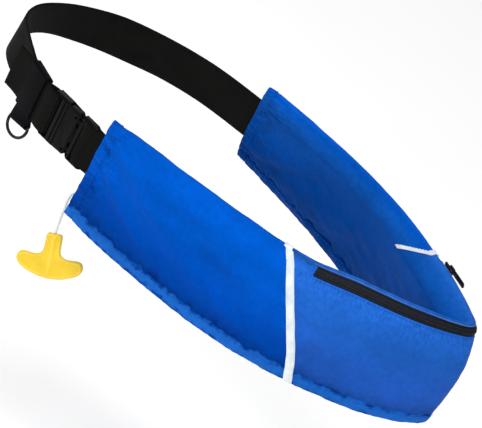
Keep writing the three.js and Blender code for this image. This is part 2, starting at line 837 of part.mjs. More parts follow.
function buckleOutline(length, rounding) {
  const pinch = 1;
  return [
    new THREE.Vector2(-length, -halfWidth + rounding),
    new THREE.Vector2(-length + rounding, -halfWidth),
    new THREE.Vector2(-length / 2, -halfWidth),
    new THREE.Vector2(-rounding, -halfWidth + pinch),
    new THREE.Vector2(0, -halfWidth + pinch + rounding),
    new THREE.Vector2(0, halfWidth - pinch - rounding),
    new THREE.Vector2(-rounding, halfWidth - pinch),
    new THREE.Vector2(-length / 2, halfWidth),
    new THREE.Vector2(-length + rounding, halfWidth),
    new THREE.Vector2(-length, halfWidth - rounding),
  ];
}

const socketWidth = 17;
const farSide = halfWidth + 1;
const farFace = buckleThick;
const femaleCuts = [
  box(-socketDepth, 1, -socketWidth, socketWidth, -socketHalf, socketHalf),
  box(-femaleLength - 1, barStart + slotLength, -railInside, railInside, -farFace, farFace),
  ...[1, -1].flatMap((side) => {
    const inner = Math.min(side * (socketWidth - 0.5), side * farSide);
    const outer = Math.max(side * (socketWidth - 0.5), side * farSide);
    const holeInner = Math.min(side * 14.5, side * 16.5);
    return [
      box(windowStart, windowEnd, inner, outer, -socketHalf, socketHalf),
      box(windowEnd + 1, windowEnd + 3.2, holeInner, holeInner + 2, -farFace, farFace),
    ];
  }),
];

// A round-edged bar between a buckle's two rails
function bar(from, to, radius) {
  const shape = new THREE.Shape();
  shape.absarc(from + radius, 0, radius, Math.PI / 2, Math.PI * 1.5, false);
  shape.absarc(to - radius, 0, radius, -Math.PI / 2, Math.PI / 2, false);
  const reach = railInside + 0.6;
  return solidFrom(new THREE.ExtrudeGeometry(shape, {
    depth: 2 * reach,
    bevelEnabled: false,
    curveSegments: 8,
  }).translate(0, 0, -reach).rotateX(Math.PI / 2));
}

let femaleSolid = cut(plate(buckleOutline(femaleLength, 2), buckleThick, buckleBevel), femaleCuts)
  .add(bar(-femaleLength, barStart, barThick / 2));
for (const at of [0.12, 0.24]) {
  const ribAt = barStart + slotLength + femaleLength * at - 1.5;
  femaleSolid = femaleSolid.add(solidFrom(
    box(ribAt, ribAt + 1.4, -railInside, railInside, buckleThick / 2 - 0.5, buckleThick / 2 + 0.8),
  ));
}
addMesh('buckle_female', geometryFrom(femaleSolid), blackPlastic).applyMatrix4(buckleFrame);

// Buckle, male half: a base with two ears and a bar, and the plug with its two side arms

const plugHalf = socketHalf - runGap;
const armInside = 11.5;
const armOutside = socketWidth - runGap;
const armLength = -windowStart - runGap;
const padOutside = halfWidth - 1.5;
let maleSolid = cut(plate([
  new THREE.Vector2(runGap, -halfWidth + 2.5),
  new THREE.Vector2(2.5, -halfWidth),
  new THREE.Vector2(earLength - 3, -halfWidth),
  new THREE.Vector2(earLength, -halfWidth + 1.6),
  new THREE.Vector2(earLength, halfWidth - 1.6),
  new THREE.Vector2(earLength - 3, halfWidth),
  new THREE.Vector2(2.5, halfWidth),
  new THREE.Vector2(runGap, halfWidth - 2.5),
], maleThick, buckleBevel), [
  box(maleBase, earLength + 1, -railInside, railInside, -farFace, farFace),
  ...[1, -1].map((side) => new THREE.CylinderGeometry(1.1, 1.1, 2 * farFace, 10)
    .rotateX(Math.PI / 2)
    .translate(maleBase / 2 + 0.3, side * 16.4, 0)),
]).add(bar(maleBarStart, maleBarStart + maleBar, maleBarHalf));
const plugBlocks = [
  box(-socketDepth + 1.5, runGap + 0.5, -7, 7, -plugHalf, plugHalf),
  ...[1, -1].flatMap((side) => {
    const low = Math.min(side * armInside, side * armOutside);
    const high = Math.max(side * armInside, side * armOutside);
    const padLow = Math.min(side * (armInside + 1), side * padOutside);
    const padHigh = Math.max(side * (armInside + 1), side * padOutside);
    return [
      box(-armLength, runGap + 0.5, low + (side > 0 ? 0 : 2), high - (side > 0 ? 2 : 0), -plugHalf, plugHalf),
      box(-armLength, windowEnd - runGap, padLow, padHigh, -plugHalf, plugHalf),
    ];
  }),
];
for (const block of plugBlocks) maleSolid = maleSolid.add(solidFrom(block));
addMesh('buckle_male', geometryFrom(maleSolid), blackPlastic).applyMatrix4(buckleFrame);

// Keeper: a loop of narrow webbing across the belt and its tail, sewn to a tab below them
// that holds the straight side of the D-ring

const keeperLow = -webbingThick / 2 - touch;
const keeperHigh = layerGap + webbingThick / 2 + touch;
const keeperInner = webbingWidth / 2 + touch;
const tabMiddle = (keeperLow + keeperHigh) / 2;
const ringHole = ringWire / 2 + touch;
const ringDown = webbingWidth / 2 + keeperDrop;
const eyeRadius = ringHole + keeperThick;

function circlePath(radius, from, to, count) {
  return Array.from({ length: count + 1 }, (unused, i) => {
    const angle = THREE.MathUtils.lerp(from, to, i / count);
    return new THREE.Vector2(tabMiddle + radius * Math.cos(angle), -ringDown + radius * Math.sin(angle));
  });
}

const keeperShape = new THREE.Shape([
  new THREE.Vector2(keeperLow - keeperThick, keeperInner),
  new THREE.Vector2(keeperLow - keeperThick, -keeperInner - keeperThick / 2),
  new THREE.Vector2(tabMiddle - keeperThick, -keeperInner - 2 * keeperThick),
  ...circlePath(eyeRadius, Math.PI * 0.82, Math.PI * 2.18, 10),
  new THREE.Vector2(tabMiddle + keeperThick, -keeperInner - 2 * keeperThick),
  new THREE.Vector2(keeperHigh + keeperThick, -keeperInner - keeperThick / 2),
  new THREE.Vector2(keeperHigh + keeperThick, keeperInner),
  new THREE.Vector2(keeperHigh, keeperInner + keeperThick),
  new THREE.Vector2(keeperLow, keeperInner + keeperThick),
]);
keeperShape.holes.push(new THREE.Path([
  new THREE.Vector2(keeperLow, -keeperInner),
  new THREE.Vector2(keeperLow, keeperInner),
  new THREE.Vector2(keeperHigh, keeperInner),
  new THREE.Vector2(keeperHigh, -keeperInner),
]));
keeperShape.holes.push(new THREE.Path(circlePath(ringHole, Math.PI * 2, 0, 10).slice(0, -1)));

function acrossFrame(frame) {
  const along = new THREE.Vector3();
  const up = new THREE.Vector3();
  const outward = new THREE.Vector3();
  frame.extractBasis(along, up, outward);
  return new THREE.Matrix4()
    .makeBasis(outward, up, along.negate())
    .setPosition(new THREE.Vector3().setFromMatrixPosition(frame));
}

const keeperGeometry = new THREE.ExtrudeGeometry(keeperShape, {
  depth: keeperWidth,
  bevelEnabled: false,
}).translate(0, 0, -keeperWidth / 2);

// The tab's foot follows the ring's straight side, whose pouch end stands higher
const tilt = THREE.MathUtils.degToRad(ringTilt);
const tabTop = keeperInner + 2 * keeperThick;
const keeperPlaces = keeperGeometry.getAttribute('position');
for (let i = 0; i < keeperPlaces.count; i += 1) {
  const down = -keeperPlaces.getY(i);
  const share = THREE.MathUtils.clamp((down - tabTop) / (ringDown - eyeRadius - tabTop), 0, 1);
  keeperPlaces.setY(i, -down - keeperPlaces.getZ(i) * Math.tan(tilt) * share);
}
keeperGeometry.computeVertexNormals();
addMesh('strap_keeper', keeperGeometry, blackWebbing).applyMatrix4(acrossFrame(keeperFrame));

// D-ring: a straight side through the keeper's tab and a half round below it

const ringRadius = (ringWidth - ringWire) / 2;
const ringDrop = ringHeight - ringWire;
const ringSides = 8;
const ringArc = 14;
const ringPath = [
  new THREE.Vector2(ringRadius - ringWire * 0.4, 0),
  new THREE.Vector2(-ringRadius + ringWire * 0.4, 0),
  ...Array.from({ length: ringArc + 1 }, (unused, i) => {
    const angle = Math.PI * (1 + i / ringArc);
    const start = -ringWire * 0.7;
    return new THREE.Vector2(
      (ringRadius - ringBulge * Math.sin(angle)) * Math.cos(angle),
      start + (ringDrop + start) * Math.sin(angle),
    );
  }),
];

function closedWire(path, radius, sides) {
  const positions = [];
  const index = [];
  path.forEach((point, i) => {
    const before = path.at(i - 1);
    const after = path[(i + 1) % path.length];
    const a = point.clone().sub(before).normalize();
    const b = after.clone().sub(point).normalize();
    const mitre = new THREE.Vector2(a.y + b.y, -a.x - b.x).normalize();
    const spread = Math.max(0.6, mitre.x * a.y - mitre.y * a.x);
    for (let k = 0; k < sides; k += 1) {
      const angle = Math.PI * 2 * (k + 0.5) / sides;
      const out = radius * Math.cos(angle) / spread;
      positions.push(point.x + mitre.x * out, point.y + mitre.y * out, radius * Math.sin(angle));
      const next = (k + 1) % sides;
      const here = i * sides;
      const there = ((i + 1) % path.length) * sides;
      index.push(here + k, there + k, there + next, here + k, there + next, here + next);
    }
  });
  const geometry = new THREE.BufferGeometry();
  geometry.setAttribute('position', new THREE.Float32BufferAttribute(positions, 3));
  geometry.setIndex(index);
  geometry.computeVertexNormals();
  return geometry;
}

addMesh('d_ring', closedWire(ringPath, ringWire / 2, ringSides), blackMetal).applyMatrix4(
  keeperFrame.clone()
    .multiply(new THREE.Matrix4().makeTranslation(0, -ringDown, tabMiddle))
    .multiply(new THREE.Matrix4().makeRotationZ(tilt))
    .multiply(new THREE.Matrix4().makeRotationX(THREE.MathUtils.degToRad(ringSwing))),
);

// Pull cord: straight out of the pouch's mouth, over a bend and down to the handle

const mouthFrame = chordFrame(0, 2, 0);
const cordOut = 1.6;
const cordPoint = (along, height, extra = new THREE.Vector3()) => (
  new THREE.Vector3(along, height, cordOut).applyMatrix4(mouthFrame).add(extra)
);
const leanDirection = new THREE.Vector3(1, 0, 0).applyAxisAngle(
  new THREE.Vector3(0, 0, 1),
  THREE.MathUtils.degToRad(handleYaw),
);
const CORD = [
  { along: cordInside, fall: 0, sway: 0 },
  { along: 8, fall: 0, sway: 0 },
  { along: 4, fall: 0, sway: 0 },
  { along: 0.6, fall: 0.2, sway: 0 },
  { along: -2.2, fall: 1.4, sway: 0 },
  { along: -4, fall: 4, sway: 0 },
  { along: -4.6, fall: 8, sway: 0 },
  { along: -4.4, fall: 13, sway: 0 },
  { along: -3.8, fall: 19, sway: 0 },
  { along: -3.2, fall: 25, sway: 0.1 },
  { along: -2.8, fall: 31, sway: 0.3 },
  { along: -2.5, fall: 36.5, sway: 0.6 },
  { along: -2.3, fall: 41.5, sway: 1 },
];
const cordRoute = new THREE.CatmullRomCurve3(CORD.map((row) => (
  cordPoint(row.along, -cordHeight - row.fall, leanDirection.clone().multiplyScalar(row.sway))
)));
const cordSides = 8;
const cordSection = new THREE.Shape(Array.from({ length: cordSides }, (unused, i) => {
  const angle = Math.PI * 2 * i / cordSides;
  return new THREE.Vector2(Math.cos(angle), Math.sin(angle)).multiplyScalar(cordDiameter / 2);
}));
addMesh('pull_cord', new THREE.ExtrudeGeometry(cordSection, {
  steps: 16,
  extrudePath: cordRoute,
}), whiteCord);

// The cord's hidden end is held by a plain pin inside the pouch

const anchorFrame = mouthFrame.clone().multiply(new THREE.Matrix4().makeTranslation(
  cordInside + touch + anchorLength / 2,
  -cordHeight,
  cordOut,
));
addMesh(
  'cord_anchor',
  new THREE.CylinderGeometry(anchorWidth / 2, anchorWidth / 2, anchorLength, 10).rotateZ(Math.PI / 2),
  blackPlastic,
).applyMatrix4(anchorFrame);

// Pull handle: a stem with two wings under it and a raised rib down its middle

const cordEnd = cordRoute.getPoint(1);
const cordAim = cordRoute.getTangent(1);
const stemTop = cordEnd.clone().addScaledVector(cordAim, 2 * touch);
const lean = THREE.MathUtils.degToRad(handleLean);
const facingTilt = THREE.MathUtils.degToRad(handleTilt);
const facing = new THREE.Vector3(leanDirection.y, -leanDirection.x, 0);
const steep = new THREE.Vector3(0, 0, Math.cos(facingTilt))
  .addScaledVector(facing, -Math.sin(facingTilt));
const upward = steep.clone().multiplyScalar(Math.cos(lean)).addScaledVector(leanDirection, -Math.sin(lean));
const sideways = steep.multiplyScalar(Math.sin(lean)).addScaledVector(leanDirection, Math.cos(lean));
const handleFrame = new THREE.Matrix4()
  .makeBasis(sideways, upward, sideways.clone().cross(upward))
  .setPosition(stemTop);

function handleShape() {
  const w = handleWidth / 2;
  const h = handleHeight;
  const stem = handleStem / 2;
  const shape = new THREE.Shape();
  shape.moveTo(0, -h);
  shape.quadraticCurveTo(w * 0.4, -h * 0.99, w * 0.72, -h * 0.88);
  shape.quadraticCurveTo(w * 1.0, -h * 0.79, w, -h * 0.64);
  shape.quadraticCurveTo(w * 0.99, -h * 0.5, w * 0.78, -h * 0.5);
  shape.lineTo(w * 0.5, -h * 0.52);
  shape.quadraticCurveTo(stem * 1.05, -h * 0.5, stem, -h * 0.34);
  shape.lineTo(stem * 0.97, -h * 0.08);
  shape.quadraticCurveTo(stem * 0.9, 0, stem * 0.6, 0);
  shape.lineTo(-stem * 0.6, 0);
  shape.quadraticCurveTo(-stem * 0.9, 0, -stem * 0.97, -h * 0.08);
  shape.lineTo(-stem, -h * 0.34);
  shape.quadraticCurveTo(-stem * 1.05, -h * 0.5, -w * 0.5, -h * 0.52);
  shape.lineTo(-w * 0.78, -h * 0.5);
  shape.quadraticCurveTo(-w * 0.99, -h * 0.5, -w, -h * 0.64);
  shape.quadraticCurveTo(-w * 1.0, -h * 0.79, -w * 0.72, -h * 0.88);
  shape.quadraticCurveTo(-w * 0.4, -h * 0.99, 0, -h);
  return shape.getPoints(4).slice(0, -1);
}

const ribSolid = solidFrom(box(
  -handleRib / 2,
  handleRib / 2,
  -handleHeight * 0.94,
  -handleHeight * 0.04,
  -handleThick / 2 - ribHeight,
  handleThick / 2 + ribHeight,
));
addMesh(
  'pull_handle',
  geometryFrom(solidFrom(plate(handleShape(), handleThick, 0.8)).add(ribSolid)),
  yellowPlastic,
).applyMatrix4(handleFrame);

export default part;
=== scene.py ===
"""Looks of the belt pack: cloth, webbing, buckle, zip, ring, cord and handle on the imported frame."""

import math

import bmesh
import bpy
import numpy as np
from mathutils import Matrix, Vector


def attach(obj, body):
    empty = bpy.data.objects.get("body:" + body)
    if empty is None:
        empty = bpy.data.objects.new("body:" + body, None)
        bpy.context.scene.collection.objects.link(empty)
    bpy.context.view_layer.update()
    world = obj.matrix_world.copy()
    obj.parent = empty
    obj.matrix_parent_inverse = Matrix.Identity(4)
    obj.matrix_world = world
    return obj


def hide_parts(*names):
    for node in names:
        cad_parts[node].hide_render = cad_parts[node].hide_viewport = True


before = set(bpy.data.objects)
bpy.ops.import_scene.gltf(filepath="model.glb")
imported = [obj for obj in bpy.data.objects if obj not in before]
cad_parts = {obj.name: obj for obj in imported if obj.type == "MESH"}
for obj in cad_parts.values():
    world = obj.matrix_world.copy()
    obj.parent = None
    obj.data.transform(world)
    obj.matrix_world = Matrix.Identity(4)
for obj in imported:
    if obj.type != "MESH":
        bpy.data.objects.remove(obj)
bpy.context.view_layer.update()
BODY = "belt_pack"
MM = 0.001

# ---- Named sizes in millimetres, the same as in the solids

LOOP_WIDTH, LOOP_LENGTH = 207, 445
RIGHT_ARM, LEFT_ARM, MITRE = 333, 306, 60
WEBBING_WIDTH, WEBBING_THICK = 38, 1.8
POUCH_TOP, POUCH_DROP, POUCH_DEPTH, EDGE = 36, 57, 24, 2.3
WALL = 1.8
BOTTOM_HEM, END_HEM = 9, 9
RIGHT_STRIPE, LEFT_STRIPE, STRIPE_WIDTH, STRIPE_SLANT, SHOULDER_SLANT = 138, 62, 7, 0.51, 1.03
ZIP_START, ZIP_END, ZIP_WIDTH, ZIP_DOWN = 136.5, 78, 7, 1
BUCKLE_FROM_MOUTH, FEMALE_LENGTH, BAR_LENGTH, BAR_THICK = 27, 32, 6, 4.6
MALE_BASE, MALE_SLOT, MALE_BAR = 5.4, 3, 3.6
KEEPER_FROM_FEMALE, KEEPER_WIDTH, KEEPER_DROP = 12, 25, 12
RING_WIRE, RING_WIDTH, RING_HEIGHT, RING_TILT, RING_SWING, RING_BULGE = 2.6, 33.6, 16, 15, -15, 1.5
TAIL, TAIL_DROOP = 22.5, 0.6
CORD_DIAMETER, CORD_HEIGHT, CORD_INSIDE, CORD_OUT = 2, 38, 12, 1.6
HANDLE_WIDTH, HANDLE_HEIGHT, HANDLE_STEM, HANDLE_THICK = 54, 37, 13.5, 5
HANDLE_RIB, RIB_HEIGHT, HANDLE_LEAN, HANDLE_YAW, HANDLE_TILT = 4.5, 1, 17, -64, 20
TOUCH = 0.3

LOOP = [
    (0.256, -1), (0.391, -0.933), (0.565, -0.811), (0.71, -0.667), (0.874, -0.479),
    (0.971, -0.272), (1, -0.047), (0.99, 0.133), (0.961, 0.294), (0.874, 0.528),
    (0.681, 0.73), (0.401, 0.901), (0.043, 0.996), (-0.304, 1), (-0.614, 0.906),
    (-0.826, 0.762), (-0.961, 0.613), (-1, 0.452), (-1, 0.294), (-0.961, 0.061),
    (-0.874, -0.178), (-0.729, -0.452), (-0.498, -0.681), (-0.217, -0.852), (0.092, -0.969),
]

# share of the arm, then the shares of SECTION_SCALE
SECTIONS = np.array([
    (-1, 1, 0.96, -0.03, 0.02, 0.16, 0.01, 1.57),
    (-0.92, 1.01, 0.97, -0.12, 0.17, 0.22, 0.09, 1.45),
    (-0.75, 1.02, 0.99, -0.25, 0.3, 0.36, 0.21, 1),
    (-0.5, 1.03, 1, -0.3, 0.38, 0.42, 0.26, 1),
    (-0.42, 1.04, 1, -0.3, 0.44, 0.38, 0.3, 1),
    (-0.3, 1.13, 1, -0.34, 0.5, 0.33, 0.36, 1),
    (-0.12, 1.1, 1.01, -0.18, 0.6, 0.36, 0.44, 1),
    (0, 1.04, 1.01, -0.04, 0.66, 0.3, 0.46, 1),
    (0.14, 1, 1, -0.08, 0.68, 0.25, 0.42, 1),
    (0.3, 1.01, 0.99, -0.17, 0.62, 0.18, 0.34, 1),
    (0.5, 1.01, 0.97, -0.29, 0.42, 0.18, 0.25, 1),
    (0.75, 0.99, 0.88, -0.25, 0.28, 0.36, 0.18, 1.2),
    (0.92, 0.96, 0.78, -0.17, 0.17, 0.44, 0.09, 1.6),
    (1, 0.94, 0.72, -0.12, 0.02, 0.42, 0.02, 1.83),
])
SECTION_SCALE = {
    "top": POUCH_TOP, "hem": -POUCH_DROP, "ridge": POUCH_DEPTH, "crease": POUCH_DEPTH, "kick": POUCH_DEPTH,
    "belly": POUCH_DEPTH, "edge": EDGE,
}
HEIGHT = POUCH_TOP + POUCH_DROP
CREASE, CREASE_BLEND, CREASE_SWELL = 0.2, 7, 0.15
PINCH, PINCHED_EDGE = 0.1, 1.7
CAP_OUT, CAP_RISE, RIM_DROP = 0.4, 0.5, 0.9
STATIONS = [
    ("crease", -1, CREASE), ("shoulder", -1, CREASE / 2), ("ridge_in", -1, 0.008), ("ridge", 0, 0),
    ("ridge_out", 1, 0.004), ("zip_high", 1, ZIP_DOWN / HEIGHT),
    ("zip_low", 1, (ZIP_DOWN + ZIP_WIDTH) / HEIGHT), ("chest", 1, 0.35), ("belly", 1, 0.5),
    ("waist", 1, 0.65), ("skirt", 1, 0.79), ("hem_out", 1, 1 - BOTTOM_HEM / HEIGHT),
    ("rim_out", 1, 1), ("rim_in", -1, 1), ("hem_in", -1, 1 - BOTTOM_HEM / HEIGHT),
    ("back_low", -1, 0.72), ("back_mid", -1, 0.5), ("back_high", -1, 0.31),
]
ST = {name: i for i, (name, _, _) in enumerate(STATIONS)}
COUNT = len(STATIONS)
FACE = np.array([face for _, face, _ in STATIONS], float)
DOWN = np.array([down for _, _, down in STATIONS], float)

# past the right mouth, out, drop, lean of the free webbing behind the keeper
BEND = np.array([
    (98, 0, 0, 0), (118, -2.2, -0.3, 3), (138, 0, -1.2, -3), (160, 3.4, -1.8, -4), (184, 2, -2.4, -7.5),
    (212, -0.5, -3, -13), (245, -2.5, -1.6, -6), (285, -1.4, -0.3, 3), (330, 0, 0, 0),
])

# broad folds, also in the solids: face, share of the arm, down, reach, slope, half width, rise
FOLDS = [
    (1, -0.8, 0.45, 75, 0.62, 15, 2.2), (1, -0.62, 0.7, 60, 0.35, 13, 1.8),
    (1, -0.42, 0.62, 55, -0.2, 14, 1.6), (-1, 0.84, 0.42, 60, 0.55, 13, 2),
    (-1, 0.66, 0.62, 70, 0.4, 14, 2.2), (1, 0.7, 0.55, 70, 0.45, 15, 2),
]


# ---- Scene, camera and light

scene = bpy.context.scene
scene.view_settings.view_transform = "Standard"
scene.view_settings.look = "None"


def add_object(name, data):
    obj = bpy.data.objects.new(name, data)
    scene.collection.objects.link(obj)
    return obj


LENS, SENSOR, CAMERA_ROLL = 170.7, 36, 29
CAMERA_PLACE = (-1.4247, -0.7124, 0.900)
CAMERA_BACK, CAMERA_RIGHT = (-0.7784, -0.3797, 0.5), (0.4384, -0.8988, 0)
# name, place, size, power; each faces the origin
LIGHTS = [
    ("key", (-0.75, -0.35, 1.75), 0.8, 24), ("fill", (-1.7, 0.5, 0.7), 1, 5), ("back", (1.3, 1.1, 1.1), 1, 4),
]
WORLD_LIGHT = 0.32


def camera():
    data = bpy.data.cameras.new("camera")
    data.sensor_width = SENSOR
    data.lens = LENS
    data.clip_end = 20
    obj = add_object("camera", data)
    back = Vector(CAMERA_BACK).normalized()
    right = Vector(CAMERA_RIGHT).normalized()
    up = back.cross(right)
    roll = math.radians(CAMERA_ROLL)
    x = right * math.cos(roll) + up * math.sin(roll)
    y = right * -math.sin(roll) + up * math.cos(roll)
    place = Matrix((x, y, back)).transposed().to_4x4()
    place.translation = Vector(CAMERA_PLACE)
    obj.matrix_world = place
    scene.camera = obj


def lights():
    for name, place, size, power in LIGHTS:
        data = bpy.data.lights.new(name, "AREA")
        data.shape = "SQUARE"
        data.size = size
        data.energy = power
        obj = add_object(name, data)
        obj.location = place
        obj.rotation_euler = Vector(place).to_track_quat("Z", "Y").to_euler()
    world = bpy.data.worlds.new("world")
    scene.world = world
    world.use_nodes = True
    sky = world.node_tree.nodes["Background"].inputs
    sky[0].default_value = (1, 1, 1, 1)
    sky[1].default_value = WORLD_LIGHT


camera()
lights()


# ---- Materials

# scale of a wave texture whose ribs repeat after one metre
WAVE_SCALE = 0.314
BLUE_GLOSS = (0.45, 0.7, 1, 1)


class Nodes:
    """A small helper that builds a material's node tree."""

    def __init__(self, name, color, roughness, metallic=0.0, specular=0.5):
        self.material = bpy.data.materials.new(name)
        self.material.use_nodes = True
        self.tree = self.material.node_tree
        self.shader = self.tree.nodes["Principled BSDF"]
        self.shader.inputs["Base Color"].default_value = (*color, 1)
        self.shader.inputs["Roughness"].default_value = roughness
        self.shader.inputs["Metallic"].default_value = metallic
        self.shader.inputs["Specular IOR Level"].default_value = specular
        self.material.diffuse_color = (*color, 1)
        self.normal = None

    def add(self, kind, **values):
        node = self.tree.nodes.new(kind)
        for key, value in values.items():
            if key[0].isupper():
                node.inputs[key.replace("_", " ")].default_value = value
            else:
                setattr(node, key, value)
        return node

    def link(self, source, target):
        self.tree.links.new(source, target)

    def through(self, kind, source, into, out, **values):
        """What a new node gives when it takes the source."""
        node = self.add(kind, **values)
        self.link(source, node.inputs[into])
        return node.outputs[out]

    def coords(self, kind, scale=(1, 1, 1), turn=0.0):
        source = self.add("ShaderNodeTexCoord").outputs[kind]
        return self.through("ShaderNodeMapping", source, "Vector", "Vector", Scale=scale,
                            Rotation=(0, 0, turn))

    def uv(self, *how, **more):
        """Distance along the belt and running length round the section, in metres."""
        return self.coords("UV", *how, **more)

    def place(self, *how):
        return self.coords("Object", *how)

    def noise(self, vector, scale, detail):
        return self.through("ShaderNodeTexNoise", vector, "Vector", "Fac", Scale=scale, Detail=detail,
                            Roughness=0.55)

    def ribs(self, vector, pitch, direction):
        """Even ribs that repeat after a pitch in metres."""
        return self.through("ShaderNodeTexWave", vector, "Vector", "Fac", Scale=WAVE_SCALE / pitch,
                            bands_direction=direction)

    def span(self, source, low, high, to_low=0.0, to_high=1.0):
        """The source's range from low to high, spread over another range."""
        return self.through("ShaderNodeMapRange", source, "Value", 0, From_Min=low, From_Max=high,
                            To_Min=to_low, To_Max=to_high)

    def math(self, operation, a, b):
        node = self.add("ShaderNodeMath", operation=operation)
        for i, value in enumerate((a, b)):
            if isinstance(value, (int, float)):
                node.inputs[i].default_value = value
            else:
                self.link(value, node.inputs[i])
        return node.outputs[0]

    def times(self, a, b):
        return self.math("MULTIPLY", a, b)

    def ramp(self, source, stops):
        node = self.add("ShaderNodeValToRGB")
        ramp = node.color_ramp
        while len(ramp.elements) < len(stops):
            ramp.elements.new(0.5)
        for element, (at, color) in zip(ramp.elements, stops):
            element.position = at
            element.color = (*color, 1)
        self.link(source, node.inputs["Fac"])
        return node.outputs["Color"]

    def bump(self, height, strength, distance):
        node = self.add("ShaderNodeBump", Strength=strength, Distance=distance)
        self.link(height, node.inputs["Height"])
        if self.normal is not None:
            self.link(self.normal, node.inputs["Normal"])
        self.normal = node.outputs["Normal"]
        self.link(self.normal, self.shader.inputs["Normal"])

    def color(self, source):
        self.link(source, self.shader.inputs["Base Color"])

    def rough(self, source, low, high):
        self.link(self.span(source, 0, 1, low, high), self.shader.inputs["Roughness"])

    def weave(self, uv, pitch):
        """Fine unevenness and crossing threads."""
        self.bump(self.noise(self.place(), 120, 3), 0.25, 0.0006)
        self.bump(self.math("ADD", self.ribs(uv, pitch, "X"), self.ribs(uv, pitch, "Y")), 0.2, 0.00012)


def linear(red, green, blue):
    def one(c):
        c /= 255
        return c / 12.92 if c <= 0.04045 else ((c + 0.055) / 1.055) ** 2.4

    return one(red), one(green), one(blue)


def shade(color, factor):
    return tuple(min(1, c * factor) for c in color)


def thread_cloth(name, color, dark, rough, weave):
    m = Nodes(name, color, rough, specular=0.16)
    for socket, value in (("Sheen Weight", 0.04), ("Sheen Roughness", 0.4), ("Sheen Tint", (0.3, 0.55, 1, 1)),
                          ("Specular Tint", BLUE_GLOSS)):
        m.shader.inputs[socket].default_value = value
    uv = m.uv()
    mottle = m.noise(m.place(), 28, 4)
    mix = m.math("ADD", m.times(mottle, 0.8), m.times(m.noise(uv, 900, 2), 0.2))
    m.color(m.ramp(mix, [(0.3, dark), (0.62, color)]))
    m.rough(mottle, rough - 0.06, rough + 0.08)
    m.weave(uv, weave)
    return m.material


def pouch_cloth(name, outer, low, hem, crease, shoulder, lip=1.0):
    """Cloth with painted light and shade: bright outside, painted shade low down, in the crease and on the
    inner faces, and a painted highlight on the bottom hem.

    lip darkens the cloth between the ridge and the zip.
    """
    m = Nodes(name, outer, 0.45, specular=0.02)
    m.shader.inputs["Specular Tint"].default_value = BLUE_GLOSS
    uv = m.uv()
    along, round_ = (m.through("ShaderNodeSeparateXYZ", uv, 0, axis) for axis in "XY")
    total = turn_length(COUNT - 1e-6)
    wobble = 12
    uneven = m.times(m.noise(uv, 150, 2), wobble * MM)
    share = m.math("DIVIDE", m.math("ADD", round_, uneven), total * MM)

    def stop(station, color, more=0.0):
        turn = ST.get(station, station)
        return float((turn_length(turn) + wobble / 2 + more) / total), color

    # painted shade on the inner face, darkest low down
    inner_shade_low, inner_shade_mid = linear(0, 57, 131), linear(3, 66, 148)
    # painted light and shade round the section: painted shade in the crease and lighter on the shoulder,
    # darker low down outside, a painted shadow line above the bottom hem, a painted highlight on the hem,
    # painted shade under the rim and on the inner face
    base = m.ramp(share, [
        stop("crease", crease), stop("shoulder", shoulder), stop("ridge", outer, -1),
        stop("ridge_out", shade(outer, lip), 1), stop("zip_high", outer, 3), stop("chest", outer),
        stop("waist", shade(low, 0.95)), stop("skirt", shade(low, 0.87)),
        stop("hem_out", shade(low, 0.62), -0.5), stop("hem_out", hem, 2.2),
        stop("rim_out", hem, -1.5), stop("rim_out", shade(low, 0.8), 0.5),
        stop("rim_in", inner_shade_low, 1), stop("back_low", shade(inner_shade_low, 1.05)), stop("back_mid", inner_shade_mid),
        stop(COUNT - 0.01, crease, -5),
    ])
    # painted sheen patches along the belt, mottle, small blotches, and painted light and shade of crumpled
    # cloth by the two mouths
    painted_sheen = m.span(m.noise(m.uv((0.55, 1.6, 1), 0.35), 17, 2), 0.32, 0.68, 0.84, 1.12)
    mottle = m.span(m.noise(m.place(), 60, 4), 0.3, 0.7, 0.95, 1.05)
    blotch = m.span(m.noise(m.place(), 260, 2), 0.3, 0.7, 0.93, 1.07)
    right = m.span(along, (RIGHT_MOUTH + 30) * MM, (RIGHT_MOUTH + 2) * MM)
    left = m.span(along, (LEFT_MOUTH - 58) * MM, (LEFT_MOUTH - 6) * MM)
    # painted light and shade of crinkles by the two mouths
    crinkle_light_and_shade = m.span(m.noise(m.uv((0.6, 1.7, 1), 0.6), 190, 3), 0.36, 0.62, -0.26, 0.12)
    blotch_and_painted_crumple = m.math("ADD", blotch, m.times(m.math("MAXIMUM", right, left), crinkle_light_and_shade))
    if lip < 1:
        # painted light and shade of gathered cloth under the zip
        edge = float(turn_length(ST["zip_low"]))
        below = m.times(m.span(round_, (edge + 30) * MM, (edge + 3) * MM),
                       m.span(round_, (edge - 6) * MM, edge * MM))
        gather = m.span(m.noise(m.uv((1.5, 0.8, 1)), 300, 3), 0.34, 0.64, -0.14, 0.2)
        blotch_and_painted_crumple = m.math("ADD", blotch_and_painted_crumple, m.times(below, gather))
    # the ramp's colours times the painted sheen, the mottle and the painted light and shade of the crumples
    tone_and_painted_light = m.add("ShaderNodeVectorMath", operation="SCALE")
    m.link(base, tone_and_painted_light.inputs[0])
    m.link(m.times(m.times(painted_sheen, mottle), blotch_and_painted_crumple), tone_and_painted_light.inputs["Scale"])
    m.color(tone_and_painted_light.outputs[0])
    m.rough(m.noise(m.place(), 28, 4), 0.4, 0.54)
    m.weave(uv, 0.0007)
    return m.material


thread_blue = thread_cloth("blue_thread", linear(22, 104, 212), linear(8, 76, 180), 0.6, 0.0003)
piping = thread_cloth("pale_piping", linear(96, 142, 212), linear(40, 96, 190), 0.5, 0.0005)


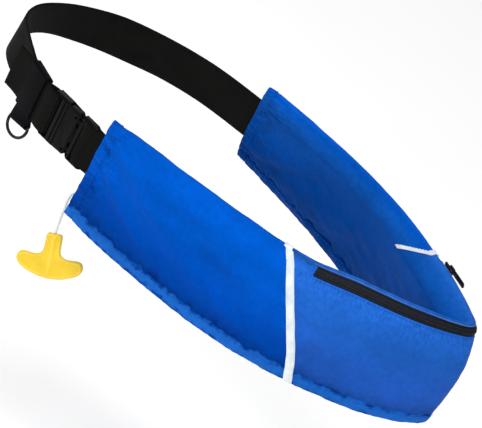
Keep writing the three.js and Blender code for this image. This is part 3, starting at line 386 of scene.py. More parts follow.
def webbing_material(name, low, high, ribs=1.0):
    m = Nodes(name, shade(high, 0.5), 0.8, specular=0.07)
    rib = m.ribs(m.uv(), 0.002, "X")
    cross = m.ribs(m.uv(turn=0.9), 0.0011, "Y")
    spots = m.noise(m.place(), 60, 3)
    m.color(m.ramp(m.times(rib, spots), [(0.06, low), (0.55, high)]))
    m.rough(spots, 0.62, 0.82)
    m.bump(rib, 0.4 * ribs, 0.0003)
    m.bump(cross, 0.25, 0.00012)
    return m.material


def hard_material(name, color, rough, dark, pale=None, spots=(70, 3), stops=(0.3, 0.65), dull=180,
                  gloss=(-0.05, 0.1), grain=900, depth=0.15, metallic=0.0, specular=0.5):
    """Plastic or enamel: spots of colour, uneven gloss and a fine grain."""
    m = Nodes(name, color, rough, metallic, specular)
    place = m.place()
    m.color(m.ramp(m.noise(place, *spots), [(stops[0], dark), (stops[1], pale or color)]))
    m.rough(m.noise(place, dull, 3), rough + gloss[0], rough + gloss[1])
    m.bump(m.noise(place, grain, 2), depth, 0.0002)
    return m.material


def tape_material():
    m = Nodes("reflective_tape", linear(226, 236, 242), 0.38, specular=0.6)
    beads = m.through("ShaderNodeTexVoronoi", m.uv(), "Vector", "Distance", Scale=2600.0)
    m.color(m.ramp(m.noise(m.place(), 90, 3), [(0.3, linear(214, 226, 236)), (0.65, linear(244, 250, 252))]))
    m.bump(beads, 0.2, 0.0001)
    return m.material


def cord_material():
    m = Nodes("white_cord", linear(226, 226, 224), 0.7)
    both = m.math("MAXIMUM", m.ribs(m.place(), 0.0011, "DIAGONAL"),
                  m.ribs(m.place((1, -1, -1)), 0.0012, "DIAGONAL"))
    m.color(m.ramp(both, [(0.2, linear(214, 214, 212)), (0.7, linear(242, 242, 240))]))
    m.bump(both, 0.3, 0.0002)
    return m.material


black_webbing = webbing_material("black_webbing", linear(3, 3, 3), linear(24, 23, 21))
keeper_cloth = webbing_material("keeper_cloth", linear(5, 6, 9), linear(10, 12, 17), 0.3)
black_plastic = hard_material("black_plastic", linear(3, 4, 7), 0.42, linear(1, 1, 2), specular=0.11)
black_metal = hard_material("black_enamel", linear(20, 20, 22), 0.34, linear(10, 10, 12), linear(28, 28, 31),
                            (130, 4), (0.35, 0.7), 220, (-0.1, 0.08), 500, 0.12, metallic=0.2, specular=0.3)
reflective = tape_material()
yellow_plastic = hard_material("yellow_plastic", linear(252, 216, 58), 0.36, linear(246, 204, 44), grain=700)
# a lighter copy of the yellow plastic: a painted highlight on the handle's raised rib and lips
painted_highlight_yellow = hard_material("painted_highlight_yellow", linear(255, 224, 74), 0.34, linear(252, 214, 58), grain=700)
white_cord = cord_material()


def zip_material(name, color, pale, across):
    m = Nodes(name, color, 0.65, specular=0.15)
    uv = m.uv()
    rows = m.ribs(uv, across, "Y")
    twill = m.ribs(m.uv(turn=0.8), 0.0008, "X")
    m.color(m.ramp(m.times(rows, m.noise(uv, 500, 2)), [(0.12, color), (0.6, pale)]))
    m.bump(rows, 0.5, 0.0004)
    m.bump(twill, 0.3, 0.00015)
    return m.material


zip_cloth = zip_material("zip_cloth", linear(14, 17, 24), linear(34, 40, 54), 0.0016)
zip_teeth = zip_material("zip_teeth", linear(16, 18, 24), linear(44, 48, 58), 0.0012)


# ---- The belt's middle line

def clamp(value):
    return np.clip(value, 0, 1)


def running(steps):
    """Running sums that start at zero."""
    return np.concatenate([[0], np.cumsum(steps)])


def path_run(points):
    """Distance along a path at each of its points."""
    return running(np.linalg.norm(np.diff(points, axis=0), axis=1))


def catmull_rom(x, w):
    """A point between the second and third of four points, on a centripetal curve."""
    d = [max(1e-4, float(np.sum((x[j + 1] - x[j]) ** 2) ** 0.25)) for j in range(3)]
    t1 = ((x[1] - x[0]) / d[0] - (x[2] - x[0]) / (d[0] + d[1]) + (x[2] - x[1]) / d[1]) * d[1]
    t2 = ((x[2] - x[1]) / d[1] - (x[3] - x[1]) / (d[1] + d[2]) + (x[3] - x[2]) / d[2]) * d[1]
    c2 = -3 * x[1] + 3 * x[2] - 2 * t1 - t2
    c3 = 2 * x[1] - 2 * x[2] + t1 + t2
    return x[1] + t1 * w + c2 * w * w + c3 * w ** 3


def closed_curve(points, count):
    n = len(points)
    out = []
    for i in range(count + 1):
        p = (i / count) * n
        k = math.floor(p)
        out.append(catmull_rom([points[(k + j - 1) % n] for j in range(4)], p - k))
    return np.array(out)


def open_curve(points, per=6):
    ends = np.concatenate([[2 * points[0] - points[1]], points, [2 * points[-1] - points[-2]]])
    out = [catmull_rom(ends[i - 1:i + 3], k / per) for i in range(1, len(ends) - 2) for k in range(per)]
    return np.array(out + [points[-1]])


LINE = closed_curve(np.array(LOOP) * [LOOP_WIDTH / 2, LOOP_LENGTH / 2], 900)
RUN = running(np.hypot(*np.diff(LINE, axis=0).T))
TOTAL = RUN[-1]
RIGHT_MOUTH, LEFT_MOUTH = -RIGHT_ARM, LEFT_ARM


def loop_at(distance):
    wanted = np.mod(distance, TOTAL)
    return np.stack([np.interp(wanted, RUN, LINE[:, 0]), np.interp(wanted, RUN, LINE[:, 1])], -1)


def outward_at(distance, span=MITRE):
    chord = loop_at(distance + span) - loop_at(distance - span)
    chord /= np.linalg.norm(chord, axis=-1, keepdims=True)
    return np.stack([chord[..., 1], -chord[..., 0]], -1)


# ---- The pouch's surface: distance along the belt, station round the section

def hermite_mix(w, h, a, b, slope_a, slope_b):
    """A cubic from a to b over the width h, at the share w."""
    return (
        (2 * w ** 3 - 3 * w ** 2 + 1) * a + (w ** 3 - 2 * w ** 2 + w) * h * slope_a
        + (-2 * w ** 3 + 3 * w ** 2) * b + (w ** 3 - w ** 2) * h * slope_b
    )


def hermite(at, rows=SECTIONS):
    """Values at a place along the rows, whose first column is that place."""
    x, y = rows[:, 0], rows[:, 1:]
    slopes = np.diff(y, axis=0) / np.diff(x)[:, None]
    tangent = np.zeros_like(y)
    tangent[1:-1] = (slopes[1:] + slopes[:-1]) / 2
    i = np.clip(np.searchsorted(x, at, side="right") - 1, 0, len(x) - 2)
    h = (x[i + 1] - x[i])[..., None]
    w = (at[..., None] - x[i][..., None]) / h
    return hermite_mix(w, h, y[i], y[i + 1], tangent[i], tangent[i + 1])


def arm_share(s):
    return np.clip(np.where(s < 0, s / RIGHT_ARM, s / LEFT_ARM), -1, 1)


def section_at(s):
    values = hermite(arm_share(s))
    return {name: values[..., i] * scale for i, (name, scale) in enumerate(SECTION_SCALE.items())}


def fold_axes(s, below, at, slope):
    """Distances along and across a slanted fold whose middle is at a share of the arm."""
    along = s - at * (RIGHT_ARM if at < 0 else LEFT_ARM)
    run = math.hypot(1, slope)
    return (along + below * slope) / run, (below - along * slope) / run


def fold_rise(s, c, face, down):
    rise = np.zeros(np.broadcast(s, down).shape)
    for side, at, middle, reach, slope, width, high in FOLDS:
        lengthwise, crosswise = fold_axes(s, (down - middle) * (c["top"] - c["hem"]), at, slope)
        bell = high * np.exp(-((lengthwise / reach) ** 2) - (crosswise / width) ** 2)
        rise = rise + np.where(face == side, bell, 0)
    return rise * np.sin(np.pi * clamp(down)) * (1 - arm_share(s) ** 8)


def face_point(s, c, face, down):
    """u (outward) and z on the outer or the inner face, at a share of the height."""
    z = c["top"] + (c["hem"] - c["top"]) * down
    lean = np.where(z > 0, c["ridge"] * (z / c["top"]) ** 2, c["kick"] * np.abs(z / c["hem"]) ** 2.4)
    rise = fold_rise(s, c, face, down)
    half_turn = np.sin(np.pi * clamp(down))
    # the ridge is pinched at the two mouths
    pinch = clamp(1 - down / PINCH) * clamp((np.abs(arm_share(s)) - (1 - PINCH)) / PINCH)
    edge = c["edge"] * (1 - pinch) + PINCHED_EDGE * pinch
    outer = lean + edge + c["belly"] * half_turn ** 0.8 + rise
    # the inner face folds in at the crease, between two slopes that are blended
    rising, falling = down / CREASE, (1 - down) / (1 - CREASE)
    inward = -np.log(np.exp(-CREASE_BLEND * rising) + np.exp(-CREASE_BLEND * falling)) / CREASE_BLEND
    inward = inward + CREASE_SWELL * half_turn * clamp((down - CREASE) / 0.15)
    inner = lean - edge - c["crease"] * inward - rise
    return np.where(face > 0, outer, inner), z


def between_stations(t):
    """Face and share of the height at a station number within one turn."""
    low = np.minimum(np.floor(t).astype(int), COUNT - 1)
    high = (low + 1) % COUNT
    w = t - low
    return np.where(FACE[low] == 0, FACE[high], FACE[low]), DOWN[low] * (1 - w) + DOWN[high] * w


def bezier(a, control, b, w):
    return (1 - w) ** 2 * a + 2 * w * (1 - w) * control + w * w * b


def outline(s, t):
    """u and z of the outline at distance s and station number t, which may run past one turn."""
    s, t = np.broadcast_arrays(np.asarray(s, float), np.asarray(t, float))
    c = section_at(s)
    t = np.mod(t, COUNT)
    point = np.array(face_point(s, c, *between_stations(t)))

    def station_point(name, side):
        return np.array(face_point(s, c, np.full_like(s, side), np.full_like(s, DOWN[ST[name]])))

    # rounded cap over the ridge
    inner, outer = station_point("ridge_in", -1), station_point("ridge_out", 1)
    middle = (inner + outer) / 2
    crown = 2 * np.array([middle[0] + CAP_OUT, c["top"] + CAP_RISE]) - middle
    cap = bezier(inner, crown, outer, clamp((t - ST["ridge_in"]) / 2))
    point = np.where((t > ST["ridge_in"]) & (t < ST["ridge_out"]), cap, point)
    # rounded rim under the hem
    q = clamp(t - ST["rim_out"])
    rim = station_point("rim_out", 1) * (1 - q) + station_point("rim_in", -1) * q
    rim[1] -= RIM_DROP * np.sin(np.pi * q)
    return np.where((t > ST["rim_out"]) & (t < ST["rim_in"]), rim, point)


def base_point(s, t):
    u, z = outline(s, t)
    s = np.broadcast_to(s, u.shape)
    xy = loop_at(s) + outward_at(s) * u[..., None]
    return np.concatenate([xy, z[..., None]], -1)


def base_normal(s, t):
    ds, dt = 1.5, 0.06
    a = base_point(s + ds, t) - base_point(s - ds, t)
    b = base_point(s, t + dt) - base_point(s, t - dt)
    n = np.cross(b, a)
    return n / np.maximum(1e-9, np.linalg.norm(n, axis=-1, keepdims=True))


TURNS = np.linspace(0, COUNT, COUNT * 24 + 1)
TURN_RUN = running(np.hypot(*np.diff(outline(np.zeros_like(TURNS), TURNS))))


def turn_length(t):
    """Running length round the middle section at a station number."""
    whole = np.floor(t / COUNT)
    return np.interp(t - whole * COUNT, TURNS, TURN_RUN) + whole * TURN_RUN[-1]


def shifted(turn, length):
    """Station number moved along the outline by a length."""
    return float(np.interp(turn_length(turn) + length, TURN_RUN, TURNS))


def seam(middle, lean, bow=0.0, over=SHOULDER_SLANT):
    """Distance of the slanted seam at each station number."""
    turns = np.linspace(0, ST["hem_out"] + 1, 300)
    step = np.hypot(*np.diff(outline(np.full_like(turns, middle), turns)))
    at = (turns[1:] + turns[:-1]) / 2
    slant = np.where(at < ST["ridge_in"], over, np.where(at < ST["ridge_out"], 0, STRIPE_SLANT))
    climb = running(slant * step)
    belly = np.interp(ST["belly"], turns, climb)
    top, low = ST["ridge_out"], ST["rim_out"]

    def line(t):
        bulge = np.sin(np.pi * clamp((np.asarray(t, float) - top) / (low - top)))
        return middle + lean * (belly - np.interp(t, turns, climb)) + bow * bulge

    return line


right_seam = seam(-RIGHT_STRIPE, -1, 4.6)
left_seam = seam(LEFT_STRIPE, 1, over=1.35)


# ---- Creases, puckers and crumple of the cloth

def lattice_noise(x, y, seed):
    table = np.random.default_rng(seed).random((64, 64)) * 2 * np.pi
    xi, yi = np.floor(x).astype(int), np.floor(y).astype(int)
    xf, yf = x - xi, y - yi

    def fade(v, far):
        share = v * v * v * (v * (v * 6 - 15) + 10)
        return share if far else 1 - share

    total = 0
    for dx in (0, 1):
        for dy in (0, 1):
            angle = table[(xi + dx) % 64, (yi + dy) % 64]
            dot = np.cos(angle) * (xf - dx) + np.sin(angle) * (yf - dy)
            total = total + dot * fade(xf, dx) * fade(yf, dy)
    return total * 1.4


def near(x, width):
    return np.exp(-(x / width) ** 2)


# single creases: face, share of the arm, down, reach, slope, half width, rise
CREASES = [
    (1, -0.955, 0.3, 14, 1.6, 1.8, 0.9), (1, -0.95, 0.62, 11, 1.2, 1.8, 0.9),
    (1, -0.9, 0.52, 30, 0.5, 3, 0.9), (1, -0.86, 0.3, 34, 0.42, 3.4, 0.7),
    (1, -0.79, 0.72, 36, 0.3, 3.4, 0.8), (1, -0.7, 0.55, 46, 0.42, 4.2, 0.9),
    (1, -0.6, 0.36, 40, 0.34, 4.2, 0.6), (1, -0.52, 0.74, 34, 0.22, 3.6, 0.8),
    (1, -0.44, 0.46, 24, -0.5, 3.4, 0.5), (1, -0.25, 0.56, 30, 0.3, 4, 0.5),
    (1, -0.13, 0.4, 26, -0.3, 4.2, 0.4), (1, 0.08, 0.6, 26, 0.4, 4, 0.5),
    (1, 0.42, 0.42, 38, 0.3, 4, 0.8), (1, 0.6, 0.6, 44, 0.4, 4, 0.9),
    (1, 0.84, 0.4, 34, 0.6, 3.4, 0.9), (1, 0.93, 0.6, 20, 0.8, 2.6, 0.9),
    (-1, 0.95, 0.35, 16, 1.2, 2.2, 0.9), (-1, 0.88, 0.6, 34, 0.62, 3, 1),
    (-1, 0.76, 0.4, 42, 0.55, 3.4, 0.9), (-1, 0.64, 0.72, 42, 0.4, 3.6, 1),
    (-1, 0.52, 0.46, 48, 0.34, 3.8, 0.8), (-1, 0.34, 0.62, 46, 0.22, 4, 0.7),
    (-1, -0.35, 0.5, 44, 0.3, 4, 0.8), (-1, -0.62, 0.62, 46, 0.4, 4, 0.9),
    (-1, -0.85, 0.46, 30, 0.6, 3.2, 0.9),
]


def relief(s, t):
    """How far the cloth stands out of its smooth surface, in millimetres."""
    s, t = np.broadcast_arrays(np.asarray(s, float), np.asarray(t, float))
    t = np.mod(t, COUNT)
    v = turn_length(t)
    face, down = between_stations(t)
    rise = np.zeros_like(s)
    for side, at, middle, reach, slope, width, high in CREASES:
        lengthwise, crosswise = fold_axes(s, (down - middle) * HEIGHT, at, slope)
        crosswise = crosswise + 2.5 * lattice_noise(lengthwise / 16, at * 31, 5)
        crest = near(crosswise, 1.8 * width) - 0.6 * near(crosswise - 3.2 * width, 2.2 * width)
        high = high * (1.9 if side > 0 else 1.2)
        rise += np.where(face == side, high * crest * near(lengthwise, reach), 0)
    # broad waves and fine crumple
    mask = 0.35 + 0.65 * clamp(lattice_noise(s / 46, v / 30, 11) + 0.45)
    rise += 0.7 * mask * lattice_noise((s + v * 0.5) / 60, (v - s * 0.5) / 13, 21)
    rise += 0.5 * mask * lattice_noise((s + v * 0.2) / 34, (v - s * 0.2) / 8, 22)
    rise += 0.35 * lattice_noise(s / 14, v / 9, 23) + 0.16 * lattice_noise(s / 5, v / 4, 24)
    # puckers at the bottom hem, both faces
    from_hem = np.abs(v - np.where(face > 0, turn_length(ST["hem_out"]), turn_length(ST["hem_in"])))
    ripple = lattice_noise(s / 4.6, 2.5, 31) + 0.6 * lattice_noise(s / 9.5, 8.5, 32)
    rise += 2.7 * ripple * near(from_hem, 5) - 0.7 * near(from_hem, 1.2)
    # puckers and crinkles at the end hems
    for mouth, sign in ((RIGHT_MOUTH, 1), (LEFT_MOUTH, -1)):
        d = (s - mouth) * sign
        ripple = lattice_noise(v / 5.2, 4.5 + sign, 33) + 0.6 * lattice_noise(v / 10, 6.5, 34)
        rise += 1.5 * ripple * near(d - END_HEM, 9) - 0.35 * near(d - END_HEM, 1.0)
        rise += 0.25 * near(d - END_HEM / 2, 3)
        crinkle = 1 - 2.2 * np.abs(lattice_noise((s - v) / 13, (s + v) / 4.2, 38))
        patchy = clamp(lattice_noise(s / 15, v / 15, 39) + 0.35)
        rise += 0.75 * patchy * crinkle * near(d - END_HEM - 6, 13) * np.where(down < 0.5, 1, 0.35)
    # drawn in under the stripes and the zip
    over = (t < ST["hem_out"]) * 1.0
    for line in (right_seam, left_seam):
        d = s - line(np.clip(t, 0, ST["hem_out"] + 1))
        ripple = lattice_noise(v / 5.0, 1.5, 35)
        rise *= 1 - 0.6 * over * near(d, 7)
        rise += over * (0.4 * ripple * near(np.abs(d) - 8, 5) - 0.3 * near(d, 4.5))
    zip_v = turn_length(ST["zip_low"])
    span = clamp((s + ZIP_START + 4) / 4) * clamp((ZIP_END + 2 - s) / 4)
    ripple = lattice_noise(s / 5.5, 3.5, 36)
    fine = lattice_noise(s / 2.6, v / 40, 37)
    gather = 0.7 * ripple * near(v - zip_v - 4, 5) + 0.35 * fine * near(v - zip_v - 8, 12)
    rise += span * (face > 0) * gather
    quiet = near(v - (zip_v - ZIP_WIDTH / 2), ZIP_WIDTH * 0.75) * span * (face > 0)
    rise *= 1 - 0.85 * quiet
    # calmer in the middle of the front and on the ridge
    calm = np.where(face > 0, 0.35 + 0.65 * clamp(np.abs(arm_share(s)) * 2.4 - 0.1), 1)
    ridge = 1 - 0.75 * near(v - turn_length(ST["ridge"]), 3)
    return rise * calm * ridge


def surface(s, t, offset=0.0, bumpy=1.0):
    s, t = np.broadcast_arrays(np.asarray(s, float), np.asarray(t, float))
    height = offset + bumpy * relief(s, t)
    return base_point(s, t) + base_normal(s, t) * height[..., None]


# ---- Meshes

def dress(obj, material, body=BODY, node=None):
    """Gives an object its look, its body and the solid that it replaces."""
    obj.data.materials.clear()
    obj.data.materials.append(material)
    obj.data.polygons.foreach_set("use_smooth", [True] * len(obj.data.polygons))
    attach(obj, body)
    if node:
        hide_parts(node)
    return obj


def new_object(name, verts, faces, uvs, material, body=BODY, node=None):
    mesh = bpy.data.meshes.new(name)
    mesh.from_pydata((np.asarray(verts) * MM).tolist(), [], faces)
    mesh.validate()
    if uvs is not None:
        layer = mesh.uv_layers.new(name="UVMap")
        index = np.zeros(len(mesh.loops), int)
        mesh.loops.foreach_get("vertex_index", index)
        layer.data.foreach_set("uv", (np.asarray(uvs) * MM)[index].ravel())
    return dress(add_object(name, mesh), material, body, node)


def ring_faces(rows, sides, closed=False, base=0):
    """Faces between rings of points that follow one another, with flat ends where the run is open."""
    faces = []
    for i in range(rows if closed else rows - 1):
        a, b = base + i * sides, base + (i + 1) % rows * sides
        faces += [(a + k, a + (k + 1) % sides, b + (k + 1) % sides, b + k) for k in range(sides)]
    if not closed:
        last = base + (rows - 1) * sides
        faces += [tuple(range(base, base + sides))[::-1], tuple(range(last, last + sides))]
    return faces


def sharpen(obj, angle):
    """Keeps hard edges hard under smooth shading."""
    bm = bmesh.new()
    bm.from_mesh(obj.data)
    for edge in bm.edges:
        if len(edge.link_faces) == 2 and edge.calc_face_angle() > math.radians(angle):
            edge.smooth = False
    bm.to_mesh(obj.data)
    bm.free()


def grid_sheet(name, node, material, slot, start, end, turns, step, outer=0.0, inner=-WALL,
               ring=False, hole=None, bumpy=1.0, lift=None):
    """A cloth sheet of two layers between start and end, each a distance or a function of the turn."""
    turns = np.asarray(turns, float)
    a, b = (np.array([float(edge(t)) if callable(edge) else edge for t in turns], float)[None, :]
            for edge in (start, end))
    rows = max(2, math.ceil(np.abs(b - a).max() / step) + 1)
    w = np.linspace(0, 1, rows)[:, None]
    s = a * (1 - w) + b * w
    t = np.broadcast_to(turns[None, :], s.shape)
    top = surface(s, t, outer + (lift(s, t) if lift else 0), bumpy)
    low = surface(s, t, inner, bumpy)
    count = len(turns)
    cells = count if ring else count - 1
    verts = np.concatenate([top.reshape(-1, 3), low.reshape(-1, 3)])
    uvs = np.tile(np.stack([s, turn_length(t)], -1).reshape(-1, 2), (2, 1))
    keep = np.ones((rows - 1, cells), bool)
    if hole:
        middle_s = (s[1:, :cells] + s[:-1, :cells]) / 2
        middle_t = (t[1:, :cells] + np.roll(t, -1, 1)[1:, :cells]) / 2
        keep = ~hole(middle_s, middle_t)

    def at(corner, layer):
        return layer * rows * count + corner[0] * count + corner[1] % count

    faces = []
    for i, j in np.argwhere(keep).tolist():
        corners = [(i, j), (i, j + 1), (i + 1, j + 1), (i + 1, j)]
        faces.append(tuple(at(corner, 0) for corner in corners))
        faces.append(tuple(at(corner, 1) for corner in corners[::-1]))
        sides = [(i - 1, j), (i, j + 1), (i + 1, j), (i, j - 1)]
        for k, (p, q) in enumerate(sides):
            if ring:
                q %= cells
            if not (0 <= p < rows - 1 and 0 <= q < cells and keep[p, q]):
                c, d = corners[k], corners[(k + 1) % 4]
                faces.append((at(d, 0), at(c, 0), at(c, 1), at(d, 1)))
    used = sorted({i for face in faces for i in face})
    place = {old: new for new, old in enumerate(used)}
    faces = [tuple(place[i] for i in face) for face in faces]
    obj = new_object(name, verts[used], faces, uvs[used], material, node=node)
    sharpen(obj, 55)


def fine_turns(start, end, size=1.7):
    """Station numbers from start to end, about size millimetres apart, passing through each station."""
    marks = [start, *range(math.ceil(start + 1e-6), math.floor(end - 1e-6) + 1), end]
    out = [start]
    for a, b in zip(marks, marks[1:]):
        parts = max(1, round(float(turn_length(b) - turn_length(a)) / size))
        if ST["ridge"] in (int(a), math.ceil(b)):
            parts = max(parts, 3)
        out += [a + (b - a) * k / parts for k in range(1, parts + 1)]
    return out


STEP = 1.9
HEM_STEP = 1.6
HALF = 0.04
right_end = RIGHT_MOUTH + END_HEM + 2 * HALF
left_end = LEFT_MOUTH - END_HEM - 2 * HALF
cover_turns = fine_turns(shifted(ST["crease"], HALF), shifted(ST["hem_out"], -HALF), STEP)
hem_turns = fine_turns(shifted(ST["hem_out"], HALF), shifted(ST["hem_in"], -HALF), 1.2)

# painted shade in the crease and, lighter, on the shoulder of the inner side
CREASE_SHADE_BLUE, SHOULDER_SHADE_BLUE = linear(14, 76, 160), linear(14, 90, 184)
# colours outside, painted shade low down, the hem (a painted highlight on the wing cloth), painted shade in
# the crease and on the shoulder
blue_wing = pouch_cloth("blue_cloth", linear(0, 88, 200), linear(0, 74, 180), linear(30, 104, 200),
                        CREASE_SHADE_BLUE, SHOULDER_SHADE_BLUE)
blue_front = pouch_cloth("blue_front_cloth", linear(34, 101, 201), linear(36, 95, 199),
                         linear(20, 92, 196), CREASE_SHADE_BLUE, SHOULDER_SHADE_BLUE, 0.62)


def beside(line, gap):
    return lambda t: line(t) + gap


def zip_hole(s, t):
    return (t > ST["zip_high"]) & (t < ST["zip_low"]) & (s > -ZIP_START) & (s < ZIP_END)


def hem_lift(s, t):
    w = (t - hem_turns[0]) / (hem_turns[-1] - hem_turns[0])
    swell = 1 + 0.5 * lattice_noise(s / 5.2, 1.7, 42)
    return 0.9 * swell * np.sin(np.pi * clamp(w)) ** 0.35 - 0.1


def end_lift(mouth):
    return lambda s, t: 0.2 * np.sin(np.pi * clamp(np.abs(s - mouth) / END_HEM)) ** 0.4


def panel(name, node, start, end, turns, material=blue_wing, step=STEP, **more):
    grid_sheet(name, node, material, "blue_cloth", start, end, turns, step, **more)


panel("right_wing", "right_wing_cover", right_end, beside(right_seam, -HALF), cover_turns)
panel("left_wing", "left_wing_cover", beside(left_seam, HALF), left_end, cover_turns)
panel("front_panel", "front_cover", beside(right_seam, HALF), beside(left_seam, -HALF), cover_turns,
      blue_front, hole=zip_hole)
panel("inner_panel", "back_panel", right_end, left_end,
      fine_turns(shifted(ST["hem_in"], HALF), COUNT - 1e-3, STEP))
panel("bottom_hem_band", "bottom_hem", right_end, left_end, hem_turns, step=HEM_STEP, lift=hem_lift)
for name, node, mouth, sign in (("right_mouth_hem", "right_end_hem", RIGHT_MOUTH, 1),
                                ("left_mouth_hem", "left_end_hem", LEFT_MOUTH, -1)):
    low, high = sorted((mouth, mouth + sign * END_HEM))
    panel(name, node, low, high, fine_turns(0, COUNT, 1.6)[:-1], step=0.9, ring=True, lift=end_lift(mouth))


# ---- Reflective stripes

STRIPE_RISE, OVER_HEM = 0.5, 1.1


def stripe(name, node, line, over_ridge=1.0):
    """A tape over a seam. It is wider or narrower over the ridge, and its edges waver a little."""
    def edge(side, shift):
        def place(t):
            half = STRIPE_WIDTH / 2 * float(np.interp(t, [ST["ridge_out"], ST["zip_low"]], [over_ridge, 1]))
            u = t + shift
            return float(line(t)) + side * half + (0.12 * math.sin(u * 2.1) + 0.08 * math.sin(u * 5.3))

        return place

    grid_sheet(name, node, reflective, "reflective_tape", edge(-1, 0), edge(1, 3),
               fine_turns(cover_turns[0], ST["rim_out"] - 0.02, 1.5), 1.1, TOUCH + STRIPE_RISE, TOUCH - 0.15,
               lift=lambda s, t: OVER_HEM * clamp((t - ST["hem_out"] + 0.12) / 0.12))


stripe("right_reflective", "right_stripe", right_seam)
stripe("left_reflective", "left_stripe", left_seam, 0.72)


# ---- Zip

COIL_WIDTH, COIL_PITCH = 3.6, 1.6
zip_turn = (ST["zip_high"] + ST["zip_low"]) / 2
coil_half = COIL_WIDTH / 2 / ZIP_WIDTH


def coil_lift(s, t):
    w = clamp(np.abs(t - zip_turn) / coil_half)
    groove = 0.55 * near((t - zip_turn) / coil_half, 0.16)
    return 1.0 * np.sqrt(1 - w ** 2) - groove + 0.14 * np.sin(s * 2 * np.pi / COIL_PITCH)


grid_sheet("zip_band", "zip_tape", zip_cloth, "zip_cloth", -ZIP_START + 0.3, ZIP_END - 0.3,
           np.linspace(shifted(ST["zip_high"], 0.25), shifted(ST["zip_low"], -0.25), 11), 2.0,
           0.1, -1.0, bumpy=0.15)
grid_sheet("zip_coil_band", "zip_coil", zip_teeth, "zip_teeth", -ZIP_START + 0.6, ZIP_END - 0.6,
           np.linspace(zip_turn - coil_half, zip_turn + coil_half, 11), 0.55,
           0.35, -0.05, bumpy=0.15, lift=coil_lift)


# ---- Tubes along a path: piping, ring, cord and the handle's lips

def tube(name, path, radius, sides, material, body=BODY, closed=False, node=None):
    path = np.asarray(path, float)
    verts = []
    uvs = []
    if closed:
        tangents = np.roll(path, -1, 0) - np.roll(path, 1, 0)
    else:
        tangents = np.gradient(path, axis=0)
    tangents /= np.linalg.norm(tangents, axis=1, keepdims=True)
    side = np.cross(tangents[0], [0, 0, 1.0])
    if np.linalg.norm(side) < 0.1:
        side = np.cross(tangents[0], [0, 1.0, 0])
    for point, tangent, run in zip(path, tangents, path_run(path)):
        side = side - tangent * side.dot(tangent)
        side /= np.linalg.norm(side)
        other = np.cross(tangent, side)
        for k in range(sides):
            angle = 2 * math.pi * k / sides
            verts.append(point + radius * (side * math.cos(angle) + other * math.sin(angle)))
            uvs.append((run, k / sides * 2 * math.pi * radius))
    return new_object(name, verts, ring_faces(len(path), sides, closed), uvs, material, body, node)


pipe_s = np.arange(-ZIP_START - 3, ZIP_END + 1, 1.5)
pipe_t = ST["ridge_out"] + 0.15 + 0.3 * lattice_noise(pipe_s / 12, 3.3, 41)
tube("zip_piping", surface(pipe_s, pipe_t, 0.2, 0.3), 0.42, 8, piping)


# ---- Stitching

STITCH_SIDES = 5
STITCH_RISE = np.array([-0.12, 0.16, 0.22, 0.16, -0.12])
STITCH_SHAPE = np.array([0.35, 0.95, 1, 0.95, 0.35])


def stitches(name, rows, material=thread_blue, pitch=3.6, length=2.5, radius=0.26):
    """Short threads that lie on the cloth. Each row gives distances, station numbers and a lift."""
    verts, faces, uvs = [], [], []
    for s_row, t_row, offset in rows:
        points = surface(s_row, t_row, offset)
        normals = base_normal(s_row, t_row)
        run = path_run(points)
        for start in np.arange(0.6, run[-1] - length, pitch):
            at = np.linspace(start, start + length, len(STITCH_SHAPE))
            line, n = (np.stack([np.interp(at, run, values[:, k]) for k in range(3)], -1)
                       for values in (points, normals))
            line = line + n * STITCH_RISE[:, None]
            along = line[-1] - line[0]
            along /= np.linalg.norm(along)
            faces += ring_faces(len(at), STITCH_SIDES, base=len(verts))
            for i, thick in enumerate(STITCH_SHAPE * radius):
                up = n[i] / np.linalg.norm(n[i])
                side = np.cross(along, up)
                for k in range(STITCH_SIDES):
                    a = 2 * math.pi * k / STITCH_SIDES
                    verts.append(line[i] + thick * (side * math.cos(a) + up * math.sin(a)))
                    uvs.append((at[i], k * 0.3))
    new_object(name, verts, faces, uvs, material)


def along_belt(turn, s0, s1, offset=0.1):
    s = np.arange(s0, s1, 0.8)
    return s, np.full_like(s, turn), offset


def down_section(s, t0, t1, offset):
    t = np.linspace(t0, t1, 260)
    return np.full_like(t, s), t, offset


def down_seam(line, shift, t0, t1, offset):
    t = np.linspace(t0, t1, 260)
    return line(t) + shift, t, offset


FROM_EDGE, HEM_LIFT, MOUTH_LIFT, STRIPE_LIFT = 1.6, 0.75, 0.5, 0.85
stitches("hem_stitching", [
    along_belt(shifted(ST["hem_out"], FROM_EDGE), right_end, left_end, HEM_LIFT),
    along_belt(shifted(ST["hem_in"], -FROM_EDGE), right_end, left_end, HEM_LIFT),
])
stitches("mouth_stitching", [
    down_section(RIGHT_MOUTH + END_HEM - FROM_EDGE, 0.2, COUNT - 0.2, MOUTH_LIFT),
    down_section(LEFT_MOUTH - END_HEM + FROM_EDGE, 0.2, COUNT - 0.2, MOUTH_LIFT),
])
zip_end_turns = np.linspace(shifted(ST["zip_high"], 0.6), shifted(ST["zip_low"], 1.4), 30)
stitches("zip_stitching", [
    along_belt(shifted(ST["zip_low"], 1.7), -ZIP_START, ZIP_END),
    (np.full(30, -ZIP_START - 1.8), zip_end_turns, 0.1),
], pitch=3.0, length=2.0)
stitches("stripe_stitching", [
    down_seam(line, shift, cover_turns[0] + 0.1, cover_turns[-1] - 0.1, STRIPE_LIFT)
    for line in (right_seam, left_seam) for shift in (-2.6, 2.6)
], material=reflective, pitch=3.2, length=2.2, radius=0.2)


# ---- Straight frames on the belt at the buckle and the keeper

def chord_frame(near_mm, far_mm, origin):
    start = loop_at(RIGHT_MOUTH - near_mm)
    along = start - loop_at(RIGHT_MOUTH - far_mm)
    along /= np.linalg.norm(along)
    place = start + along * (near_mm - origin)
    return {
        "o": np.array([*place, 0]), "x": np.array([*along, 0]), "y": np.array([0, 0, 1.0]),
        "z": np.array([along[1], -along[0], 0]),
    }


